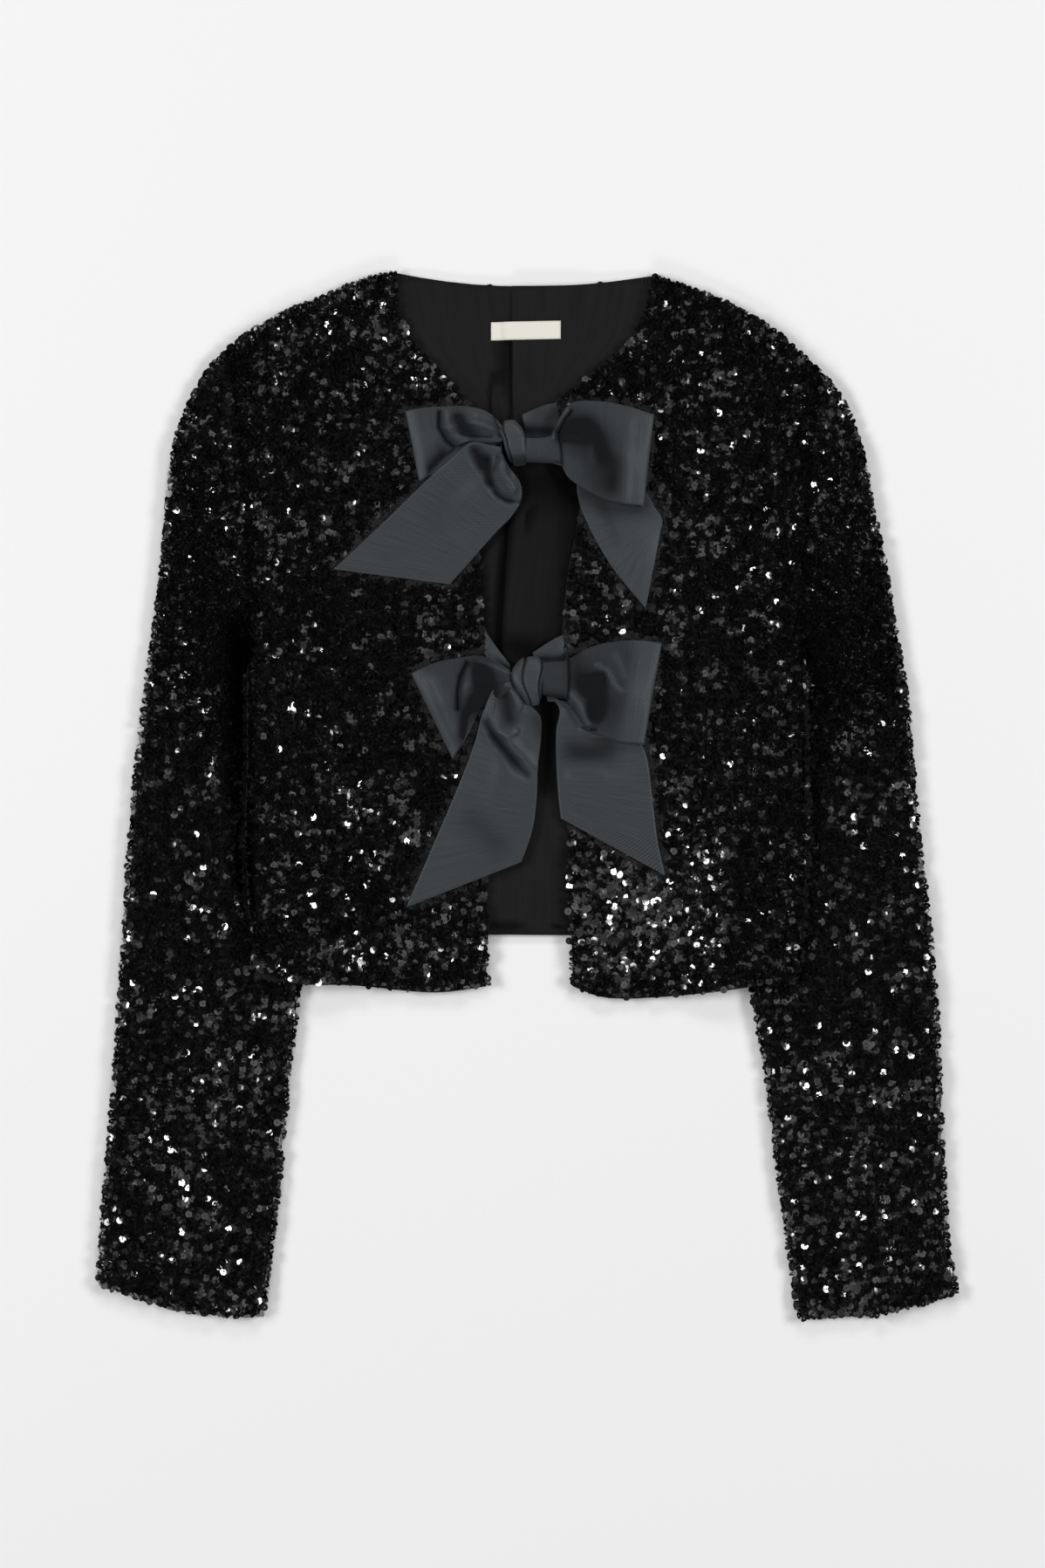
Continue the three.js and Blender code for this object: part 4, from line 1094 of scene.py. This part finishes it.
def colour_ramp(tree, factor, stops):
    ramp = add_node(tree, "ShaderNodeValToRGB", inputs={"Fac": factor})
    elements = ramp.color_ramp.elements
    while len(elements) < len(stops):
        elements.new(0.5)
    for element, (place, colour) in zip(elements, stops):
        element.position = place
        element.color = (*colour, 1)
    return ramp.outputs["Color"]


def noise(tree, scale, detail=4.0, vector=None):
    inputs = {"Scale": scale, "Detail": detail}
    if vector is not None:
        inputs["Vector"] = vector
    else:
        inputs["Vector"] = add_node(tree, "ShaderNodeTexCoord").outputs["Object"]
    return add_node(tree, "ShaderNodeTexNoise", inputs=inputs).outputs["Fac"]


def cloth_vector(tree, scale_u, scale_v, turn=0.0):
    uv = add_node(tree, "ShaderNodeUVMap", {"uv_map": "cloth"})
    mapping = add_node(tree, "ShaderNodeMapping", inputs={"Vector": uv.outputs["UV"]})
    mapping.inputs["Scale"].default_value = (scale_u, scale_v, 1)
    mapping.inputs["Rotation"].default_value = (0, 0, turn)
    return mapping.outputs["Vector"]


def waves(tree, direction, scale, distortion=0.0, detail=2.0):
    """Fine parallel lines that follow the cloth."""
    inputs = {"Vector": cloth_vector(tree, 1, 1), "Scale": scale, "Distortion": distortion,
              "Detail": detail}
    return add_node(tree, "ShaderNodeTexWave", {"bands_direction": direction}, inputs).outputs["Fac"]


def add_bump(tree, shader, height, strength, depth, below=None):
    inputs = {"Height": height, "Strength": strength, "Distance": depth}
    if below is not None:
        inputs["Normal"] = below
    bump = add_node(tree, "ShaderNodeBump", inputs=inputs)
    tree.links.new(bump.outputs["Normal"], shader.inputs["Normal"])
    return bump.outputs["Normal"]


def darkened_by_painted_shade(tree, colour):
    """A colour darkened by the painted shade of the depth attribute, in folds and under what lies over the
    cloth.
    """
    painted_shade_tint = colour_ramp(tree, attribute(tree, "depth"), [(0.0, (1, 1, 1)), (0.5, (0.42, 0.42, 0.44)),
                                                           (1.0, (0.07, 0.07, 0.08))])
    shaded = add_node(tree, "ShaderNodeMix", {"data_type": "RGBA", "blend_type": "MULTIPLY"},
                      {0: 1.0, 6: colour, 7: painted_shade_tint})
    return shaded.outputs[2]


def sequin_material():
    material, tree, shader = nodes_of("sequins")
    shade = attribute(tree, "shade")
    # The shade attribute sets the colour: random tone, with painted shade and glint from sequin_lie
    colour = colour_ramp(tree, shade, [(0.0, (0.006, 0.006, 0.006)), (0.07, (0.037, 0.0365, 0.037)),
                                       (0.25, (0.064, 0.063, 0.064)),
                                       (0.65, (0.13, 0.128, 0.13)), (1.0, (0.26, 0.256, 0.26))])
    set_inputs(tree, shader, {"Base Color": colour, "Roughness": in_range(tree, shade, 0.2, 0.1),
                              "Metallic": 0.88})
    add_bump(tree, shader, noise(tree, 900.0, 2.0), 0.08, 0.0003)
    return material


def backing_material():
    material, tree, shader = nodes_of("backing")
    knit = waves(tree, "X", 260.0, 1.5)
    colour = colour_ramp(tree, knit, [(0.0, (0.004, 0.004, 0.0045)), (1.0, (0.012, 0.0115, 0.012))])
    set_inputs(tree, shader, {"Base Color": colour, "Roughness": 0.9, "Specular IOR Level": 0.2})
    add_bump(tree, shader, knit, 0.5, 0.0003)
    return material


def lining_material():
    material, tree, shader = nodes_of("lining")
    streaks = noise(tree, 1.0, 3.0, cloth_vector(tree, 500, 20))
    colour = colour_ramp(tree, streaks, [(0.3, (0.0118, 0.0110, 0.0114)), (0.7, (0.0151, 0.0142, 0.0147))])
    set_inputs(tree, shader, {"Base Color": darkened_by_painted_shade(tree, colour), "Roughness": 0.6,
                              "Specular IOR Level": 0.03, "Sheen Weight": 0.02})
    below = add_bump(tree, shader, waves(tree, "DIAGONAL", 500.0), 0.15, 0.0001)
    add_bump(tree, shader, noise(tree, 60.0, 2.0), 0.25, 0.0012, below)
    return material


def ribbon_material():
    material, tree, shader = nodes_of("ribbon")
    twill = waves(tree, "DIAGONAL", 360.0, 0.5, 1.0)
    streaks = noise(tree, 1.0, 3.0, cloth_vector(tree, 40, 900))
    blend = add_node(tree, "ShaderNodeMath", {"operation": "MULTIPLY_ADD"},
                     {0: twill, 1: 0.6, 2: streaks}).outputs["Value"]
    colour = colour_ramp(tree, blend, [(0.4, (0.0225, 0.0265, 0.0298)), (1.0, (0.0460, 0.0535, 0.0600))])
    rough = in_range(tree, attribute(tree, "depth"), 0.4, 0.95)
    set_inputs(tree, shader, {"Base Color": darkened_by_painted_shade(tree, colour), "Roughness": rough,
                              "Specular IOR Level": 0.22, "Sheen Weight": 0.06})
    below = add_bump(tree, shader, twill, 0.5, 0.00015)
    add_bump(tree, shader, noise(tree, 45.0, 2.0), 0.3, 0.0012, below)
    return material


def label_material():
    material, tree, shader = nodes_of("label")
    weave = waves(tree, "Y", 700.0, 0.5)
    colour = colour_ramp(tree, weave, [(0.0, (0.70, 0.685, 0.60)), (1.0, (0.84, 0.825, 0.745))])
    set_inputs(tree, shader, {"Base Color": colour, "Roughness": 0.75})
    add_bump(tree, shader, weave, 0.4, 0.00015)
    return material


def floor_material():
    material, tree, shader = nodes_of("floor")
    grain = noise(tree, 900.0, 2.0)
    colour = colour_ramp(tree, grain, [(0.0, (0.86, 0.86, 0.86)), (1.0, (0.88, 0.88, 0.88))])
    set_inputs(tree, shader, {"Base Color": colour, "Roughness": 0.95, "Specular IOR Level": 0.1})
    return material


# The camera, straight above, and the floor

FRAME_HEIGHT = 1.0333  # metres of the garment's plane in the frame's long side
FRAME_MIDDLE = (-0.0032, 0.0055)
CAMERA_HEIGHT = 4.0  # above the garment's plane
SEEN_HEIGHT = 0.009  # of that plane above the floor


def camera():
    data = bpy.data.cameras.new("camera")
    data.sensor_width = 36.0
    data.lens = data.sensor_width * CAMERA_HEIGHT / FRAME_HEIGHT
    data.clip_end = 50
    seen = add_object("camera", data)
    seen.location = (*FRAME_MIDDLE, CAMERA_HEIGHT + SEEN_HEIGHT)
    bpy.context.scene.camera = seen


def floor():
    mesh = bpy.data.meshes.new("floor")
    reach, under = 6.0, -0.0004
    corners = [(-reach, -reach, under), (reach, -reach, under), (reach, reach, under), (-reach, reach, under)]
    mesh.from_pydata(corners, [], [(0, 1, 2, 3)])
    mesh.materials.append(floor_material())
    add_object("floor", mesh)


# Softboxes. Columns: x, y, z of the middle, width, height, watts
SOFTBOXES = [
    (-2.1, 0.3, 2.1, 1.5, 0.9, 46),
    (2.1, 0.2, 2.1, 1.5, 0.9, 40),
    (0.2, 2.4, 2.0, 1.4, 0.7, 25),
    (-0.3, -2.5, 1.8, 1.4, 0.6, 19),
]


def lights():
    for number, (x, y, z, width, height, watts) in enumerate(SOFTBOXES):
        data = bpy.data.lights.new(f"softbox_{number}", "AREA")
        data.shape = "RECTANGLE"
        data.size, data.size_y = width, height
        data.energy = watts
        box = add_object(data.name, data)
        box.location = (x, y, z)
        box.rotation_mode = "QUATERNION"
        box.rotation_quaternion = (-box.location).to_track_quat("-Z", "Y")


def world():
    """A dim studio with a faint overhead panel, and a pale backdrop behind the floor."""
    made = bpy.data.worlds.new("studio")
    bpy.context.scene.world = made
    made.use_nodes = True
    tree = made.node_tree
    background = tree.nodes["Background"]
    way = add_node(tree, "ShaderNodeTexCoord").outputs["Generated"]
    up = add_node(tree, "ShaderNodeSeparateXYZ", inputs={"Vector": way}).outputs["Z"]
    colour = colour_ramp(tree, up, [(0.0, (0.26, 0.26, 0.26)), (0.25, (0.03, 0.03, 0.03)),
                                    (0.86, (0.04, 0.04, 0.04)), (0.94, (0.29, 0.29, 0.29))])
    tree.links.new(colour, background.inputs["Color"])
    pale = add_node(tree, "ShaderNodeBackground", inputs={"Color": (0.9, 0.9, 0.9, 1), "Strength": 1.0})
    straight = add_node(tree, "ShaderNodeLightPath").outputs["Is Camera Ray"]
    both = add_node(tree, "ShaderNodeMixShader", inputs={0: straight, 1: background.outputs[0],
                                                         2: pale.outputs[0]})
    tree.links.new(both.outputs[0], tree.nodes["World Output"].inputs["Surface"])


# The pieces

MATERIALS = {
    "sequins": sequin_material(),
    "backing": backing_material(),
    "lining": lining_material(),
    "ribbon": ribbon_material(),
    "label": label_material(),
}


def covered_by(grids, cell=2.0, reach=350):
    """Whether a point of the plane lies under any of these surfaces, or within about 2 mm of one."""
    count = round(2 * reach / cell)
    mask = np.zeros((count, count), bool)
    for grid in grids:
        i, j = (((grid[..., k] + reach) / cell).astype(int).ravel() for k in (0, 1))
        mask[i, j] = True
    for axis in (0, 1):
        mask = mask | np.roll(mask, 1, axis) | np.roll(mask, -1, axis)

    def at(x, y):
        i, j = (np.clip(((k + reach) / cell).astype(int), 0, count - 1) for k in (x, y))
        return mask[i, j]
    return at


def finish_piece(piece, node):
    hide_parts(node)
    return piece


BOWS = {"upper_bow": UPPER_BOW, "lower_bow": LOWER_BOW}
RIBBON_CELLS = {"loop": (120, 40), "tail": (90, 42), "strap": (20, 26)}
ribbon_grids = {
    f"{bow}_{name}": ribbon_surface(f"{bow}_{name}", table, *RIBBON_CELLS[name.split("_")[0]])
    for bow, tables in BOWS.items() for name, table in tables.items() if name != "knot"
}


def sequinned(name, surface, pressed, seed, ring=False, hole_corners=4,
              under=False):
    """A panel's backing cloth and the sequins on it. surface gives its grid at two steps.
    Sequins on the back face down."""
    side = -1 if under else 1
    cloth = add_wall(f"{name}_cloth", surface(BACKING_ROW, BACKING_STEP), BACKING, MATERIALS["backing"],
                     side * (BACKING - CLOTH) / 2, ring)
    finish_piece(cloth, name)
    grid = surface(UNDER_ROW, UNDER_STEP) if under else surface(SEQUIN_ROW, SEQUIN_STEP)
    if under:
        grid = grid[1:-1, ::-1]
    points, faces, shade = sequins(grid, pressed(grid), seed, ring, hole_corners)
    discs = add_mesh(f"{name}_sequins", points, faces, MATERIALS["sequins"], values={"shade": shade})


def lining_piece(name, grid, thickness, ring=False, depth=None):
    lining = add_wall(f"{name}_cloth", grid, thickness, MATERIALS["lining"], ring=ring, depth=depth)
    return finish_piece(lining, name)


def body():
    under_ribbon = covered_by([grid for grid, _ in ribbon_grids.values()])

    def pressed(grid):
        return under_ribbon(grid[..., 0], grid[..., 1])

    for number, (side, half) in enumerate(HALVES.items()):
        sequinned(f"front_{side}", lambda x, y, half=half: front_surface(half, x, y),
                  pressed, FRONT_SEED + SEED_STEP * number)
        lining = lining_piece(f"front_lining_{side}", front_lining_surface(half), FRONT_LINING_SHOWN)
    sequinned("back", back_surface,
              lambda grid: np.full(grid.shape[:2], True), BACK_SEED, hole_corners=3, under=True)
    grid = back_lining_surface()
    # Painted shade of the pleat's folds and of what lies over the lining
    shade = shade_at(SHADES["back_lining"], grid[..., 0], grid[..., 1])
    lining = lining_piece("back_lining", grid, LINING_SHOWN, depth=shade)


def sleeves():
    for number, (side, half) in enumerate(HALVES.items()):
        side_line = np.array(half["side"], float)

        def pressed(grid, side_line=side_line):
            x, y, z = np.moveaxis(grid, -1, 0)
            body_side = np.interp(y, side_line[:, 1], np.abs(side_line[:, 0]))
            tucked = (np.abs(x) < body_side + 2) & (y < 99) & (y > -124)
            return tucked | (z < CLOTH)

        sequinned(f"sleeve_{side}", lambda x, y, half=half: sleeve_surface(half, x, y),
                  pressed, SLEEVE_SEED + SEED_STEP * number, ring=True)
        lining = lining_piece(f"sleeve_lining_{side}", sleeve_lining_surface(half), LINING_SHOWN, ring=True)


def label():
    j = np.linspace(0, 1, 30)[None, :]
    i = np.linspace(0, 1, 8)[:, None]
    x = mix(LABEL["left"], LABEL["right"], j) + 0 * i
    y = mix(LABEL["low"], LABEL["high"], i) + LABEL["tilt"] * (x - LABEL["left"])
    z = (BACK_LINING_MID + LINING / 2 + SEAM_GAP + LABEL["thick"] / 2
         + PLEAT_RISE * smooth((x - LABEL_STEP["left"]) / LABEL_STEP["width"]))
    grid = np.stack([x, y, z], -1)
    piece = add_wall("label_tape", grid, LABEL["thick"], MATERIALS["label"])
    finish_piece(piece, "label")


def knot_mesh(bow, at, half, turn):
    """The knot: a band of ribbon wrapped over the bow's middle, grooved where it is folded, with painted
    shade in the grooves and a painted shadow at its foot.
    """
    around, along = 72, 64
    a = np.linspace(0, 2 * np.pi, around, endpoint=False)[None, :]
    b = np.linspace(-np.pi / 2, np.pi / 2, along)[:, None]
    across = np.sign(np.sin(b)) * np.abs(np.sin(b)) ** 0.6 + 0 * a
    groove = sum(np.exp(-((across - place) / KNOT_GROOVE_WIDTH) ** 2) for place in KNOT_GROOVES[bow])
    radius = np.abs(np.cos(b)) ** 0.4 * (1 - KNOT_GROOVE_DEPTH * groove)
    y, z = radius * np.cos(a), radius * np.sin(a)
    foot, head = KNOT_SHIFT[bow]
    narrowed = mix(KNOT_FOOT[bow], 1, smooth((y + 1) / 1.5)) * (1 - 0.2 * smooth(2 * y - 1))
    x = half[0] * 1.08 * across * narrowed
    x += foot * smooth(-y) + head * smooth(y)
    grid = np.stack([x, half[1] * y, half[2] * z], -1)
    c, s = math.cos(turn), math.sin(turn)
    grid = grid @ np.array([[c, s, 0], [-s, c, 0], [0, 0, 1]]) + np.array(at)
    number = np.arange(around * along).reshape(along, around)
    number = np.concatenate([number, number[:, :1]], 1)
    quads = np.stack([number[:-1, :-1], number[:-1, 1:], number[1:, 1:], number[1:, :-1]], -1)
    quads = quads.reshape(-1, 4)
    uv = np.stack(np.broadcast_arrays((across + 2) * half[0], a * half[1]), -1).reshape(-1, 2)
    # Its depth attribute is painted shade in the grooves and painted shadow at the foot
    return add_mesh(f"{bow}_knot_wrap", grid.reshape(-1, 3), quads, MATERIALS["ribbon"], uv * MM,
                    {"depth": np.clip(groove + KNOT_FOOT_SHADE[bow] * smooth(-2 * y - 0.6), 0, 1).ravel()})


def bows():
    for bow, tables in BOWS.items():
        knot = knot_mesh(bow, **tables["knot"])
        finish_piece(knot, f"{bow}_knot")
    for name, (grid, depth) in ribbon_grids.items():
        points, faces, uv = wall(grid, RIBBON)
        rows, columns = grid.shape[:2]
        uv[:, 0] = np.tile(np.linspace(0, RIBBON_WIDTH, columns), 2 * rows)
        # depth is the ribbon's painted shade
        piece = add_mesh(f"{name}_ribbon", points, faces, MATERIALS["ribbon"], uv * MM,
                         {"depth": np.tile(depth.ravel(), 2)})
        finish_piece(piece, name)


bpy.context.scene.view_settings.view_transform = "Standard"
camera()
floor()
lights()
world()
body()
sleeves()
label()
bows()
